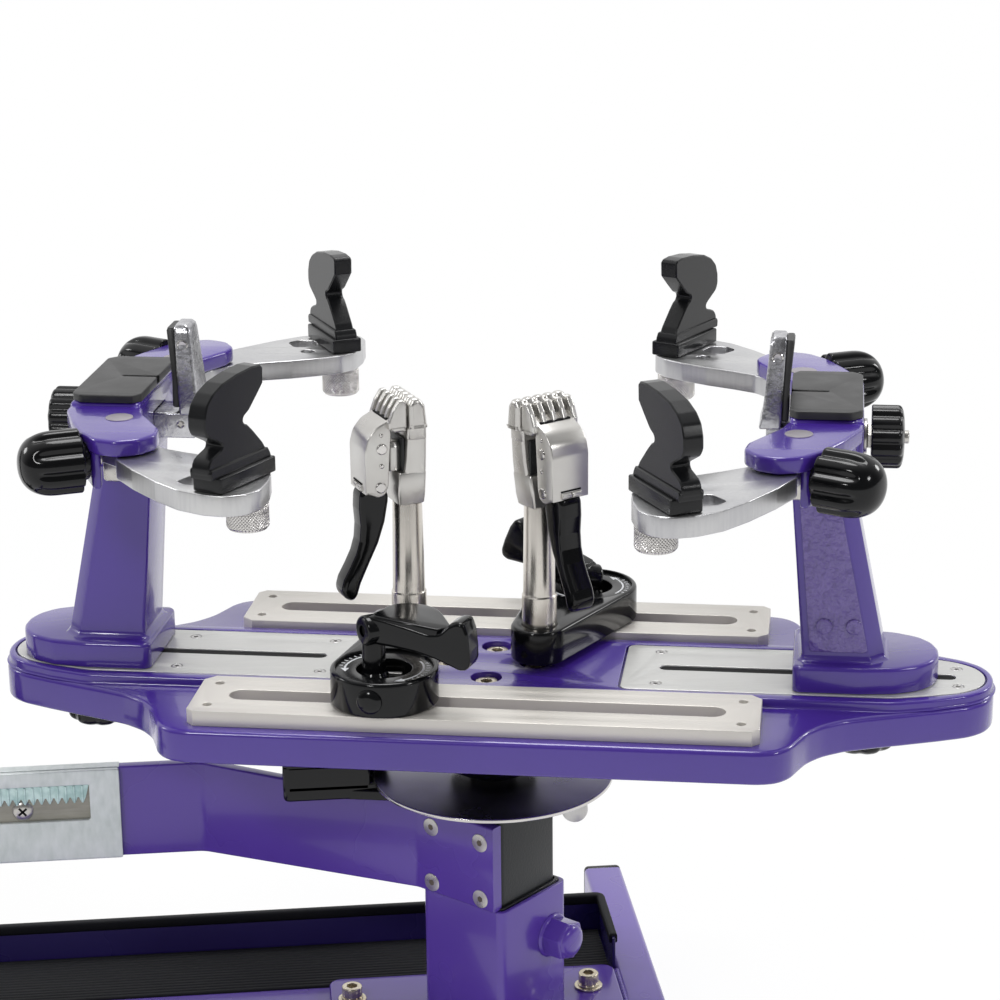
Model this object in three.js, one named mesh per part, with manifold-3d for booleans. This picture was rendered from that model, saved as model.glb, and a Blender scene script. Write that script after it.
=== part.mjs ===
// Table-top racket stringing machine.
// Millimetres, +Z up, +X along the base beam, +Y away from the operator.
// The origin lies on the bench, under the axis that the turntable turns about.
import * as THREE from "three";
import { mergeVertices } from "three/addons/utils/BufferGeometryUtils.js";
import Module from "manifold-3d";

const wasm = await Module();
wasm.setup();

// Base
const footWidth = 20;
const footHeight = 40;
const footHalfLength = 166;
const footRightX = 66;
const footLeftX = -286;
const beamHalfWidth = 45;
const frameWall = 2.5;
const capThickness = 4;
const capPlug = 12;
const capGap = 0.2;
const trayBackY = 97;
const trayFloorZ = 35;
const trayRimZ = 57;
const trayWall = 1.5;
const trayEndGap = 0.3;
const trayLapZ = 12;
const matThickness = 3;
const matGap = 1;
const flangeLeftX = -80;
const flangeRightX = 64;
const flangeHalfWidth = 44;
const flangeThickness = 4;
const flangeBoltX = [-69.4, 48.5];
const flangeBoltY = 20.5;
const boltRadius = 3;
const boltHoleRadius = 3.4;
const boltHeadRadius = 5;
const boltHeadHeight = 6;
const socketRadius = 2.9;
const socketDepth = 3;
const washerRadius = 7;
const washerThickness = 1.2;

// Column
const columnTurn = 45;
const outerSide = 50;
const outerBore = 46;
const outerCorner = 3;
const outerTopZ = 115;
const innerSide = 42;
const innerBore = 36;
const innerCorner = 2;
const innerFootZ = 54;
const innerTopZ = 158.5;
const innerPlug = 30;
const bossRadius = 10.5;
const bossLength = 13;
const bossZ = 88;
const bossAlong = 13;
const bossHexRadius = 8.5;
const bossHexLength = 6;

// Tension arm
const armThickness = 6;
const armPlateGap = 0.1;
const armPath = [[-38.2, 4.2], [-139, 62.4], [-446, 62.4]];
const armStartAlong = -21.5;
const armBendShare = 1.4;
const armBottomNear = 115.6;
const armBottomFar = 111;
const armTopNear = 156.5;
const armTopFar = 158.3;
const armScrewAlong = [-12.5, 16];
const armScrewZ = [124, 148];
const armScrewRadius = 2.5;
const armScrewHoleRadius = 2.8;
const armScrewHeadRadius = 4.75;
const armScrewSink = 2.6;
const rackLeftX = -436;
const rackRightX = -178;
const rackThickness = 3;
const rackGap = 0.1;
const rackSlotBottom = 132;
const rackSlotTop = 149;
const rackSlotLeftX = -428;
const rackSlotRightX = -193;
const rackSlotDepth = 2;
const rackPitch = 5;
const rackToothHeight = 5;
const rackToothWidth = 2.6;
const rackToothTip = 1.2;

// Tension head on the arm
const headX = -345;
const headHalfLength = 40;
const headFrontY = 38;
const headBackY = 84;
const headBottomZ = 99;
const headTopZ = 176;
const headGap = 0.3;
const postHalfX = 13;
const postFrontY = 50;
const postBackY = 74;
const postTopZ = 352;
const postSlantZ = 205;
const jawBlockHeight = 26;
const jawBlockTopZ = postTopZ + jawBlockHeight;
const jawBlockFrontY = 63;
const gripGap = 0.6;
const gripFrontY = 47;
const gripLift = 1;
const gripHalfX = 12;
const gripKnobRadius = 7;
const gripKnobLength = 10;
const gripKnobSinkShare = 0.6;
const crankZ = 128;
const crankHubRadius = 13;
const crankHubLength = 12;
const crankReach = 55;
const crankBarWidth = 14;
const crankBarThickness = 6;
const crankGripRadius = 8;
const crankGripLength = 42;
const crankGap = 0.4;
const crankAngle = 205;

// Brake
const discRadius = 57;
const discTop = -61;
const discThickness = 4;
const hubRadius = 22;
const hubFlangeRadius = 30;
const hubFlangeThickness = 4;
const spindleRadius = 10;
const spindleLength = 22;
const spindleGap = 0.06;
const bearingBoreRadius = 12;
const brakePlateThickness = 5;
const brakeBarHalfWidth = 11;
const caliperX = [-100, -50];
const caliperY = [4, 30];
const caliperHeight = 20;
const caliperSlotGap = 1.2;
const leverPivot = [-66, 38];
const leverPivotRadius = 9;
const leverPinRadius = 4;
const leverPinGap = 0.1;
const leverThickness = 5;
const leverHalfWidth = 5;
const leverPath = [[-66, 38], [40, 38]];
const leverKnobRadius = 7;
const leverKnobLength = 38;
const leverKnobZ = 146.5;
const leverGap = 0.4;

// Turntable, measured from the rails' top face and the spin axis
const railTop = 230;
const tableTurn = -13;
const wingTop = -7.2;
const tableBottom = -23;
const beamTop = -2.7;
const wingQuarter = [[128, 89], [136, 87], [142, 81], [145, 73], [149, 63], [156, 54], [166, 47],
  [178, 42], [190, 37.6], [207, 31], [222, 24.5], [229, 18], [232.4, 10], [233.4, 0]];
const beamQuarter = [[187, 35.5], [205, 30], [220, 23.2], [228, 16.6], [232, 8.4], [233, 0]];
const plateOutline = [[66, 28.6], [187, 28.6], [203, 24.4], [217, 19.6], [225, 13.4], [228.6, 6],
  [229.3, 0]];
const plateInner = 62.5;
const plateCorner = 3.5;
const plateGap = 0.9;
const plateThickness = 3;
const plateSlot = [79, 215.9];
const plateSlotHalf = 3.2;
const bodySlotHalf = 4.2;
const railHalfLength = 128.3;
const railInnerY = 38;
const railOuterY = 82.5;
const railInnerCorner = 5;
const railOuterCorner = 3.4;
const railSlotY = 60.4;
const railSlotHalf = 6;
const railSlotEnd = 15.7;
const railHoleEnd = 8.3;
const railHoleY = [47, 73.8];
const railHoleRadius = 2;
const railHoleDepth = 4;
const grooveHalf = 11;
const grooveDepth = 10;
const grooveEnd = 11.3;
const hubBoltRadius = 20.6;
const counterboreRadius = 7.2;
const counterboreZ = -12.2;

// Towers: u runs outwards from the arm pins, v along the cross-head, z up from the rails' top face
const towerU = { right: 142, left: 159 };
const pinV = 54;
const pinRadius = 5;
const pinGap = 0.1;
const pinNutRadius = 7.5;
const pinNutBottom = 101;
const footFaceZ = -2.5;
const footTopZ = 9.9;
const footOutline = [[-1, 24.5], [1.5, 27], [30, 27], [46, 24.8], [57, 19.5], [63, 12], [65.5, 4]];
const legBottom = { inner: 3, outer: 40.4, half: 18.2 };
const legTop = { inner: -3.8, outer: 22.8, half: 17 };
const legTopZ = 98;
const legFlareZ = 6;
const legFlare = 3;
const bossInset = [10, 25];
const bossHeight = 27;
const legBossRadius = 3.6;
const legBossProud = 1.2;
const headOutline = [[-4.5, 36], [28, 36]];
const headBlockBottom = 98;
const headBlockTop = 129;
const earTop = 127.5;
const earBottom = 119.9;
const earOutline = [[28, 30], [27.5, 42], [19.5, 62], [11, 79], [2.5, 88.5], [-8, 92], [-17.5, 87.5],
  [-23, 78], [-21.5, 68.5], [-16, 58.5], [-8, 44.5], [-4.5, 30]];
const channelHalf = 11.4;
const channelBottom = 105.6;
const channelTop = 118.4;
const channelEndU = 22;
const studBoreRadius = 3.3;
const padOutline = [[-4.6, 31], [-1.5, 35.5], [23, 35.5], [27.5, 31]];
const padTop = 132.6;
const padSlitHalf = 1.5;
const padSlitEnd = 12;

// Centre bracket, with its plate's inner face at bracketFace
const bracketFace = { right: -13, left: -21 };
const sliderHalf = 11;
const sliderBottom = 106;
const sliderTop = 118;
const sliderLength = 27;
const bracketPlate = 3;
const bracketHalf = 12;
const bracketTopHalf = 9;
const bracketTopZ = 158.5;
const bracketPadThickness = 4.6;
const bracketPadHalf = 10.5;
const bracketPadTopHalf = 8;
const bracketPadZ = [120.5, 157.5];
const centreKnobU = 31.6;
const centreKnobLength = 15;
const centreKnobRadius = 14.3;
const centreWasherRadius = 8;
const centreStudRadius = 3;
const centreStudEnd = 48.5;
const centreKnobZ = 112;
const centreWallU = 28.2;
const fluteCount = 12;
const centreNoseShare = 0.25;

// Side knobs: each screw runs through the skirt wall under an ear
const sideFace = [13.3, 81];
const sideKnobAngle = 27;
const sideKnobZ = 115.2;
const sideKnobLength = 25.4;
const sideKnobRadius = 14.4;
const sideStudRadius = 3;
const sideStudBack = 11.4;
const sideCollarRadius = 4.4;
const sideCollarLength = 5.4;
const skirtBottom = 103;
const skirtOutline = [[27.5, 30], [24.6, 42], [16.8, 60.7], [8.3, 77.7], [5.4, 83.8], [0.7, 83.8],
  [12.9, 57.2], [20.3, 42.4], [20.3, 30]];
const fluteShare = 0.04;
const noseWidthShare = 0.7;
const sideNoseShare = 0.4;

// Arms, in the plane of the arm: a runs from the pin towards the racket, b outwards along the cross-head
const armBottom = 110.2;
const armTop = 119.4;
const armOutline = [[-12, -3], [-10.8, 5.4], [-5, 13], [2.5, 19.5], [5.2, 24], [6.2, 29], [6.8, 36],
  [18.4, 51.8], [32.4, 67.6], [44.7, 79], [56.7, 85.2], [67, 86.8], [75, 83.4], [79.6, 75], [80.4, 62],
  [79, 50], [73.3, 42], [63, 35.6], [50.3, 29.4], [37, 24.4], [25, 19], [15.5, 9], [11.5, -3],
  [4, -11.5], [-7, -11.5]];
const armWindow = [[41.4, 66.4], [46.4, 71.4], [54.5, 71.4], [57.5, 62], [52, 57.5], [46.4, 57]];
const armHole = [55, 49];
const armHoleRadius = 3.4;
const nutPlace = [69.5, 57];
const nutRadius = 9.3;
const nutTop = 109.7;
const nutBottom = 96.5;
const nutChamfer = 1.6;
const jawStudRadius = 4;
const jawStudGap = 0.1;
const swingDegrees = { left: { front: 0, rear: 0 }, right: { front: 11.5, rear: 5.6 } };
const jawDegrees = { left: { front: 67, rear: 60.5 }, right: { front: 64, rear: 64 } };

// Jaws: s runs from the outer end of the base towards the racket, z up from the arm's top face
const jawGap = 0.2;
const jawBaseLength = 41.5;
const jawBaseHeight = 7.6;
const jawBaseHalf = 7.4;
const jawHalf = 6;
const jawStudShare = 0.71;
const jawProfile = [[-1, 7], [40.4, 7], [38.4, 10.6], [36.3, 13.7], [29.4, 20.7], [25.6, 24.1],
  [23.8, 24.6], [22.6, 26.4], [23.3, 27.9], [27, 29.6], [32.5, 35.2], [37.4, 40.4], [38, 43.9],
  [36.2, 46.9], [31.1, 47.9], [20.2, 47.2], [9.4, 45.4], [2.2, 42.4], [-2.2, 38.7], [-4.2, 33.5],
  [-4.4, 28.4], [-2.6, 25.2], [5.6, 20.9], [7.6, 19.6], [6.6, 17.6], [2.5, 16.4], [-1.6, 14.9],
  [-3.2, 11.8], [-3.2, 8.5]];

// Lock knobs under the tongues
const lockU = 31;
const lockStudRadius = 2.8;
const lockStudGap = 0.2;
const lockStudTop = 4;
const lockKnobGap = 0.4;
const lockKnobHeight = 16;
const lockKnobRadius = 16;
const lockNoseShare = 0.3;

// String clamps: the post stands at clampPost, the dial is over the rail
const clampPost = { left: [-39, 1], right: [22.5, 1] };
const clampDial = { left: [-41, -60.4], right: [39, 60.4] };
const dialRadius = 23;
const clampPostEnd = 13.5;
const clampHeight = 15.5;
const clampGap = 0.2;
const dialRecessRadius = 18.5;
const dialRecessDepth = 1.6;
const dialBoreRadius = 7.2;
const nutStemRadius = 5.6;
const nutDiscRadius = 9.6;
const nutDiscZ = [-15.4, -8];
const nutCapRadius = 6.9;
const nutCapZ = 8;
const nutCapThickness = 4;
const postSocket = 11;
const postLowRadius = 8.2;
const postMidRadius = 7.7;
const postTopRadius = 6.8;
const postSpigotRadius = 4.6;
const postCollarZ = 32;
const postEndZ = 87;
const postGap = 0.1;
const leverHubRadius = 5;
const leverHubZ = 8.3;
const leverBodyHalf = 5.6;
const leverProfile = [[-6.7, -3], [-6.3, 3.2], [-3.5, 6.4], [1.5, 7], [6.5, 5.6], [16.5, 2.8],
  [25.5, 1], [31.5, 1.8], [36.5, 5.6], [41.1, 7.4], [45.1, 5.2], [47.3, -1.4], [47.7, -11.4],
  [46.5, -17], [43.1, -19], [38.5, -17.8], [32.5, -14], [24.5, -10.2], [14.5, -7.6], [4.5, -6.4],
  [-3.5, -6.2]];
const leverPalm = { start: [13, 6], end: [31, 0], startRadius: 14, endRadius: 5, low: 1.8, high: 5.8 };
const leverPlace = {
  left: { at: [-45.6, -60.4], z: 35.4, yawDegrees: -14, tiltDegrees: 0 },
  right: { at: [39.5, 60.4], z: 19.5, yawDegrees: 148, tiltDegrees: 20 },
};

// Clamp heads: p runs along the teeth, q from the fixed jaw to the moving one
const headDegrees = { left: -150, right: -46 };
const headPostQ = -3.8;
const headBottomFace = 75;
const headCollarRadius = 6.8;
const headCollarTop = 86;
const headBodyHalf = 12;
const headBodyProfile = [[-7.4, 77], [-0.4, 77], [-0.4, 117], [-7.4, 118.4], [-9.8, 114],
  [-9.8, 100], [-9.2, 88]];
const headSlotHalf = 7;
const headSlotQ = -5;
const headSlotZ = [90.5, 104];
const toothCount = 5;
const toothPitch = 5.8;
const toothWidth = 3.8;
const toothRoot = 115;
const bridgeQ = { fixed: [-9.4, -0.4], moving: [0.4, 9.6] };
const bridgeZ = { fixed: [111, 119], moving: [113, 118.6] };
const fixedTooth = [[-0.4, 0], [-0.4, 9.5], [-2.2, 12.5], [-5.6, 12.5], [-8.4, 9], [-9.6, 0]];
const movingTooth = [[0.4, 0], [0.4, 9.5], [2.2, 12.5], [5.2, 12.2], [8.2, 8], [9.8, 0]];
const coverHalf = 10.4;
const coverProfile = [[0.4, 91], [18.8, 83], [20.2, 85.4], [20.2, 104], [18.6, 110.6], [14.4, 115.4],
  [8, 118], [0.4, 118.8]];
const handleHalf = 6.2;
const handleGap = 0.35;
const handleTop = 88.6;
const handleSlotTop = 91.4;
const handleProfile = [[9.4, 80], [9.2, 75], [11.5, 66], [15.6, 56.7], [21.6, 46], [25.4, 37.5],
  [26.8, 33.6], [29.4, 33.2], [30.8, 36], [28.4, 42], [26.2, 46.5], [22.8, 52.5], [21, 58],
  [20.6, 66], [21.6, 75], [21.4, 82], [18, handleTop - 1], [12, handleTop]];

const rad = (degrees) => THREE.MathUtils.degToRad(degrees);

// Closed meshes and solids
function solidOf(geometry) {
  const bare = geometry.index ? geometry.toNonIndexed() : geometry.clone();
  bare.deleteAttribute("normal");
  bare.deleteAttribute("uv");
  const merged = mergeVertices(bare);
  return new wasm.Manifold(new wasm.Mesh({
    numProp: 3,
    vertProperties: Float32Array.from(merged.attributes.position.array),
    triVerts: Uint32Array.from(merged.index.array),
  }));
}

function joined(solids) {
  return solids.reduce((whole, next) => whole.add(next));
}

function geometryOf(solid) {
  const mesh = solid.getMesh();
  const geometry = new THREE.BufferGeometry();
  const positions = Float32Array.from(mesh.vertProperties);
  geometry.setAttribute("position", new THREE.BufferAttribute(positions, mesh.numProp));
  geometry.setIndex(new THREE.BufferAttribute(Uint32Array.from(mesh.triVerts), 1));
  geometry.computeVertexNormals();
  return geometry;
}

// Outlines
function area(points) {
  return points.reduce((sum, [x, y], i) => {
    const [nextX, nextY] = points[(i + 1) % points.length];
    return sum + (x * nextY - nextX * y) / 2;
  }, 0);
}

function counterClockwise(points) {
  return area(points) < 0 ? [...points].reverse() : points;
}

function rectangle(lowX, lowY, highX, highY) {
  return [[lowX, lowY], [highX, lowY], [highX, highY], [lowX, highY]];
}

function arc(x, y, radius, from, to, steps) {
  return Array.from({ length: steps + 1 }, (_, i) => {
    const angle = rad(from + ((to - from) * i) / steps);
    return [x + radius * Math.cos(angle), y + radius * Math.sin(angle)];
  });
}

function circle(x, y, radius, steps = 24) {
  return arc(x, y, radius, 0, 360, steps).slice(0, -1);
}

function roundedRectangle(lowX, lowY, highX, highY, radius, steps = 3) {
  return [
    ...arc(highX - radius, lowY + radius, radius, -90, 0, steps),
    ...arc(highX - radius, highY - radius, radius, 0, 90, steps),
    ...arc(lowX + radius, highY - radius, radius, 90, 180, steps),
    ...arc(lowX + radius, lowY + radius, radius, 180, 270, steps),
  ];
}

function slotOutline(lowX, highX, y, half, steps = 5) {
  return [
    ...arc(highX - half, y, half, -90, 90, steps),
    ...arc(lowX + half, y, half, 90, 270, steps),
  ];
}

function mirroredFour(quarter) {
  const right = [...quarter.map(([x, y]) => [x, -y]), ...[...quarter].reverse().filter(([, y]) => y > 0)];
  return [...right, ...right.map(([x, y]) => [-x, -y])];
}

function mirroredTwo(half) {
  return [...half.map(([x, y]) => [x, -y]), ...[...half].reverse().filter(([, y]) => y > 0)];
}

function turned(points, degrees, x = 0, y = 0) {
  const c = Math.cos(rad(degrees));
  const s = Math.sin(rad(degrees));
  return points.map(([px, py]) => [x + px * c - py * s, y + px * s + py * c]);
}

function hull(first, second) {
  const points = [...first, ...second].sort((a, b) => a[0] - b[0] || a[1] - b[1]);
  const chain = (list) => list.reduce((kept, point) => {
    const line = [...kept];
    while (line.length > 1) {
      const [ax, ay] = line[line.length - 2];
      const [bx, by] = line[line.length - 1];
      if ((bx - ax) * (point[1] - ay) - (by - ay) * (point[0] - ax) > 0) break;
      line.pop();
    }
    return [...line, point];
  }, []);
  return [...chain(points).slice(0, -1), ...chain([...points].reverse()).slice(0, -1)];
}

// A flat slab between two heights
function slab(points, low, high) {
  const shape = new THREE.Shape(counterClockwise(points).map(([x, y]) => new THREE.Vector2(x, y)));
  const geometry = new THREE.ExtrudeGeometry(shape, { depth: high - low, bevelEnabled: false });
  geometry.translate(0, 0, low);
  return solidOf(geometry);
}

function box(lowX, lowY, lowZ, highX, highY, highZ) {
  return slab(rectangle(lowX, lowY, highX, highY), lowZ, highZ);
}

function cylinder(x, y, radius, low, high, steps = 24) {
  return slab(circle(x, y, radius, steps), low, high);
}

// A slab whose outline lies in a vertical plane: its first number runs along X, its second along Z
function upright(points, lowY, highY) {
  const shape = new THREE.Shape(counterClockwise(points).map(([x, z]) => new THREE.Vector2(x, z)));
  const geometry = new THREE.ExtrudeGeometry(shape, { depth: highY - lowY, bevelEnabled: false });
  geometry.rotateX(Math.PI / 2);
  geometry.translate(0, highY, 0);
  return solidOf(geometry);
}

// A solid of revolution about Z from radius and height pairs that start and end on the axis
function revolved(profile, steps = 24) {
  const geometry = new THREE.LatheGeometry(profile.map(([r, z]) => new THREE.Vector2(r, z)), steps);
  geometry.rotateX(Math.PI / 2);
  return solidOf(geometry);
}

// A solid laid so that its Z axis points along a compass angle in the XY plane, starting at a point
function laid(solid, degrees, x, y, z) {
  return solid.rotate([0, 90, 0]).rotate([0, 0, degrees]).translate([x, y, z]);
}

// A prism between two outlines with the same number of points
function loft(lowPoints, lowZ, highPoints, highZ) {
  const count = lowPoints.length;
  const positions = [];
  lowPoints.forEach(([x, y]) => positions.push(x, y, lowZ));
  highPoints.forEach(([x, y]) => positions.push(x, y, highZ));
  const index = [];
  for (let i = 0; i < count; i += 1) {
    const next = (i + 1) % count;
    index.push(i, next, count + next, i, count + next, count + i);
  }
  for (let i = 1; i < count - 1; i += 1) {
    index.push(0, i + 1, i);
    index.push(count, count + i, count + i + 1);
  }
  const geometry = new THREE.BufferGeometry();
  geometry.setAttribute("position", new THREE.Float32BufferAttribute(positions, 3));
  geometry.setIndex(index);
  return solidOf(geometry);
}

// A fluted knob with its axis along Z, its inner face at zero
function flutedKnob(radius, length, noseShare) {
  const steps = fluteCount * 2;
  const outline = Array.from({ length: steps }, (_, i) => {
    const groove = i % 2 === 0 ? 1 - 2 * fluteShare : 1;
    const angle = (2 * Math.PI * i) / steps;
    return [radius * groove * Math.cos(angle), radius * groove * Math.sin(angle)];
  });
  const scaled = (share) => outline.map(([x, y]) => [x * share, y * share]);
  const nose = length * noseShare;
  return joined([
    loft(outline, 0, outline, length - nose),
    loft(outline, length - nose, scaled(noseWidthShare), length),
  ]);
}

// Materials
const paint = new THREE.MeshStandardMaterial({ color: 0x54448e, roughness: 0.28, metalness: 0.1 });
const black = new THREE.MeshStandardMaterial({ color: 0x1b1c1f, roughness: 0.3, metalness: 0 });
const blackSteel = new THREE.MeshStandardMaterial({ color: 0x2c2d2f, roughness: 0.55, metalness: 0.3 });
const rubber = new THREE.MeshStandardMaterial({ color: 0x3a3a3a, roughness: 0.85, metalness: 0 });
const satin = new THREE.MeshStandardMaterial({ color: 0xc4c0bb, roughness: 0.4, metalness: 0.9 });
const bright = new THREE.MeshStandardMaterial({ color: 0xd0d0d2, roughness: 0.2, metalness: 1 });
const zinc = new THREE.MeshStandardMaterial({ color: 0xb8bcbc, roughness: 0.45, metalness: 0.85 });

function part(name, solid, material) {
  const mesh = new THREE.Mesh(geometryOf(solid), material.clone());
  mesh.name = name;
  return mesh;
}

// Base frame: two foot tubes and a beam, welded, with the four flange bolts standing in the beam
function baseFrame() {
  const feet = [footLeftX - footWidth, footRightX];
  const outer = feet.map((x) => box(x, -footHalfLength, 0, x + footWidth, footHalfLength, footHeight));
  const beam = box(
    footLeftX - frameWall, -beamHalfWidth, 0,
    footRightX + frameWall, beamHalfWidth, footHeight,
  );
  const inner = feet.map((x) => box(
    x + frameWall, -2 * footHalfLength, frameWall,
    x + footWidth - frameWall, 2 * footHalfLength, footHeight - frameWall,
  ));
  const hollow = box(
    footLeftX - 2 * frameWall, frameWall - beamHalfWidth, frameWall,
    footRightX + 2 * frameWall, beamHalfWidth - frameWall, footHeight - frameWall,
  );
  const frame = joined([...outer, beam]).subtract(joined([...inner, hollow]));
  const bolts = flangeBoltX.flatMap((x) => [-flangeBoltY, flangeBoltY].map((y) => flangeBolt(x, y)));
  return joined([frame, ...bolts]);
}

function flangeBolt(x, y) {
  const seat = footHeight + flangeThickness + capGap;
  const headLow = seat + washerThickness;
  const headHigh = headLow + boltHeadHeight;
  const socket = cylinder(x, y, socketRadius, headHigh - socketDepth, headHigh + socketDepth, 6);
  return joined([
    cylinder(x, y, boltRadius, footHeight - frameWall, seat + washerThickness, 10),
    cylinder(x, y, washerRadius, seat, headLow, 18),
    cylinder(x, y, boltHeadRadius, headLow, headHigh, 18),
  ]).subtract(socket);
}

function footCap(x, side) {
  const low = side * footHalfLength;
  const face = box(x, Math.min(low, low + side * capThickness), 0, x + footWidth,
    Math.max(low, low + side * capThickness), footHeight);
  const inset = frameWall + capGap;
  const plug = box(
    x + inset, Math.min(low, low - side * capPlug), inset,
    x + footWidth - inset, Math.max(low, low - side * capPlug), footHeight - inset,
  );
  return joined([face, plug]);
}

// Tool tray: a folded pan hung on the back of the beam
function toolTray() {
  const left = footLeftX + trayEndGap;
  const right = footRightX - trayEndGap;
  const front = beamHalfWidth + capGap / 2;
  const floor = box(left, front, trayFloorZ, right, trayBackY, trayFloorZ + trayWall);
  const back = box(left, trayBackY - trayWall, trayFloorZ, right, trayBackY, trayRimZ);
  const ends = [left, right - trayWall].map(
    (x) => box(x, front, trayFloorZ, x + trayWall, trayBackY, trayRimZ),
  );
  const lap = box(left, front, trayLapZ, right, front + trayWall, trayFloorZ + trayWall);
  return joined([floor, back, ...ends, lap]);
}

function trayMat() {
  const inset = trayWall + matGap;
  return box(
    footLeftX + inset, beamHalfWidth + inset, trayFloorZ + trayWall,
    footRightX - inset, trayBackY - inset, trayFloorZ + trayWall + matThickness,
  );
}

function squareTube(side, corner) {
  return turned(roundedRectangle(-side / 2, -side / 2, side / 2, side / 2, corner), columnTurn);
}

function outerColumn() {
  const low = footHeight;
  const flange = slab(
    roundedRectangle(flangeLeftX, -flangeHalfWidth, flangeRightX, flangeHalfWidth, outerCorner * 2),
    low, low + flangeThickness,
  );
  const tube = slab(squareTube(outerSide, outerCorner), low, outerTopZ);
  const boreCorner = outerCorner - (outerSide - outerBore) / 2;
  const bore = slab(squareTube(outerBore, boreCorner), low + flangeThickness, 2 * outerTopZ);
  const holes = flangeBoltX.flatMap((x) => [-flangeBoltY, flangeBoltY].map(
    (y) => cylinder(x, y, boltHoleRadius, 0, 2 * footHeight, 12),
  ));
  const outward = columnTurn - 90;
  const face = outerSide / 2 - (outerSide - outerBore) / 4;
  const boss = joined([
    cylinder(0, 0, bossRadius, 0, bossLength, 20).rotate([0, 0, 180 / 20]),
    cylinder(0, 0, bossHexRadius, bossLength / 2, bossLength + bossHexLength, 6)
      .rotate([0, 0, 2 * tableTurn]),
  ]);
  const c = Math.cos(rad(outward));
  const s = Math.sin(rad(outward));
  const standing = laid(boss, outward, face * c - bossAlong * s, face * s + bossAlong * c, bossZ);
  return joined([flange, tube, standing]).subtract(joined([bore, ...holes]));
}

// Inner column, with the arm's four screws standing in its left face
function innerColumn() {
  const tube = slab(squareTube(innerSide, innerCorner), innerFootZ, innerTopZ);
  const bore = slab(squareTube(innerBore, innerCorner / 2), 0, innerTopZ - innerPlug);
  const socketLow = innerTopZ - spindleLength - discThickness;
  const socket = cylinder(0, 0, spindleRadius + spindleGap, socketLow, 2 * innerTopZ, 40);
  const screws = armScrewPlaces().map(([x, y, z]) => armScrew(x, y, z, 0));
  return joined([tube.subtract(joined([bore, socket])), ...screws]);
}

function armScrewPlaces() {
  const along = rad(90 + columnTurn);
  return armScrewAlong.flatMap(
    (s) => armScrewZ.map((z) => [s * Math.cos(along), s * Math.sin(along), z]),
  );
}

// One countersunk screw, or with a gap the hole for it
function armScrew(x, y, z, gap) {
  const seat = innerSide / 2 - innerCorner;
  const out = innerSide / 2 + armPlateGap + armThickness;
  const shank = gap > 0 ? armScrewHoleRadius : armScrewRadius;
  const head = armScrewHeadRadius + 2 * gap;
  const end = gap > 0 ? out + gap : out - armPlateGap;
  const profile = [[0, seat], [shank, seat], [shank, end - armScrewSink - gap], [head, end], [0, end]];
  return laid(revolved(profile, 14), 180 + columnTurn, x, y, z);
}

// A flat bar bent along a path
function strip(path, half) {
  const side = (sign) => path.map(([x, y], i) => {
    const [px, py] = path[Math.max(i - 1, 0)];
    const [nx, ny] = path[Math.min(i + 1, path.length - 1)];
    const before = i > 0 ? Math.atan2(y - py, x - px) : Math.atan2(ny - y, nx - x);
    const after = i < path.length - 1 ? Math.atan2(ny - y, nx - x) : before;
    const normal = (before + after) / 2 + Math.PI / 2;
    const reach = (sign * half) / Math.cos((after - before) / 2);
    return [x + reach * Math.cos(normal), y + reach * Math.sin(normal)];
  });
  return [...side(1), ...side(-1).reverse()];
}

function tensionArm() {
  const out = innerSide / 2 + armPlateGap + armThickness / 2;
  const normal = rad(180 + columnTurn);
  const along = rad(90 + columnTurn);
  const start = [
    out * Math.cos(normal) + armStartAlong * Math.cos(along),
    out * Math.sin(normal) + armStartAlong * Math.sin(along),
  ];
  const bend = -armStartAlong * armBendShare;
  const first = [
    out * Math.cos(normal) + bend * Math.cos(along),
    out * Math.sin(normal) + bend * Math.sin(along),
  ];
  const [, second, end] = armPath;
  const bar = slab(strip([start, first, second, end], armThickness / 2), armBottomFar, armTopFar);
  const side = upright([
    [outerSide, armBottomNear], [outerSide, armTopNear], [first[0], armTopNear], [second[0], armTopFar],
    [end[0], armTopFar], [end[0], armBottomFar], [second[0], armBottomFar], [first[0], armBottomNear],
  ], -outerSide, 2 * second[1]);
  const holes = armScrewPlaces().map(([x, y, z]) => armScrew(x, y, z, capGap));
  return bar.intersect(side).subtract(joined(holes));
}

// Rack plate: a plated cover with the tooth row in its long recess
function rackPlate() {
  const back = armPath[2][1] - armThickness / 2 - rackGap;
  const front = back - rackThickness;
  const plate = box(rackLeftX, front, armBottomFar, rackRightX, back, armTopFar);
  const recess = box(
    rackSlotLeftX, front - rackThickness, rackSlotBottom,
    rackSlotRightX, front + rackSlotDepth, rackSlotTop,
  );
  const count = Math.floor((rackSlotRightX - rackSlotLeftX) / rackPitch) - 1;
  const teeth = Array.from({ length: count }, (_, i) => {
    const x = rackSlotRightX - (i + 1) * rackPitch;
    const high = rackSlotTop + rackToothTip;
    const low = rackSlotTop - rackToothHeight;
    return upright([
      [x - rackToothWidth / 2, high], [x + rackToothWidth / 2, high],
      [x + rackToothTip / 2, low], [x - rackToothTip / 2, low],
    ], front + rackSlotDepth / 4, front + rackSlotDepth + rackToothTip / 4);
  });
  return joined([plate.subtract(recess), ...teeth]);
}

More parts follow.
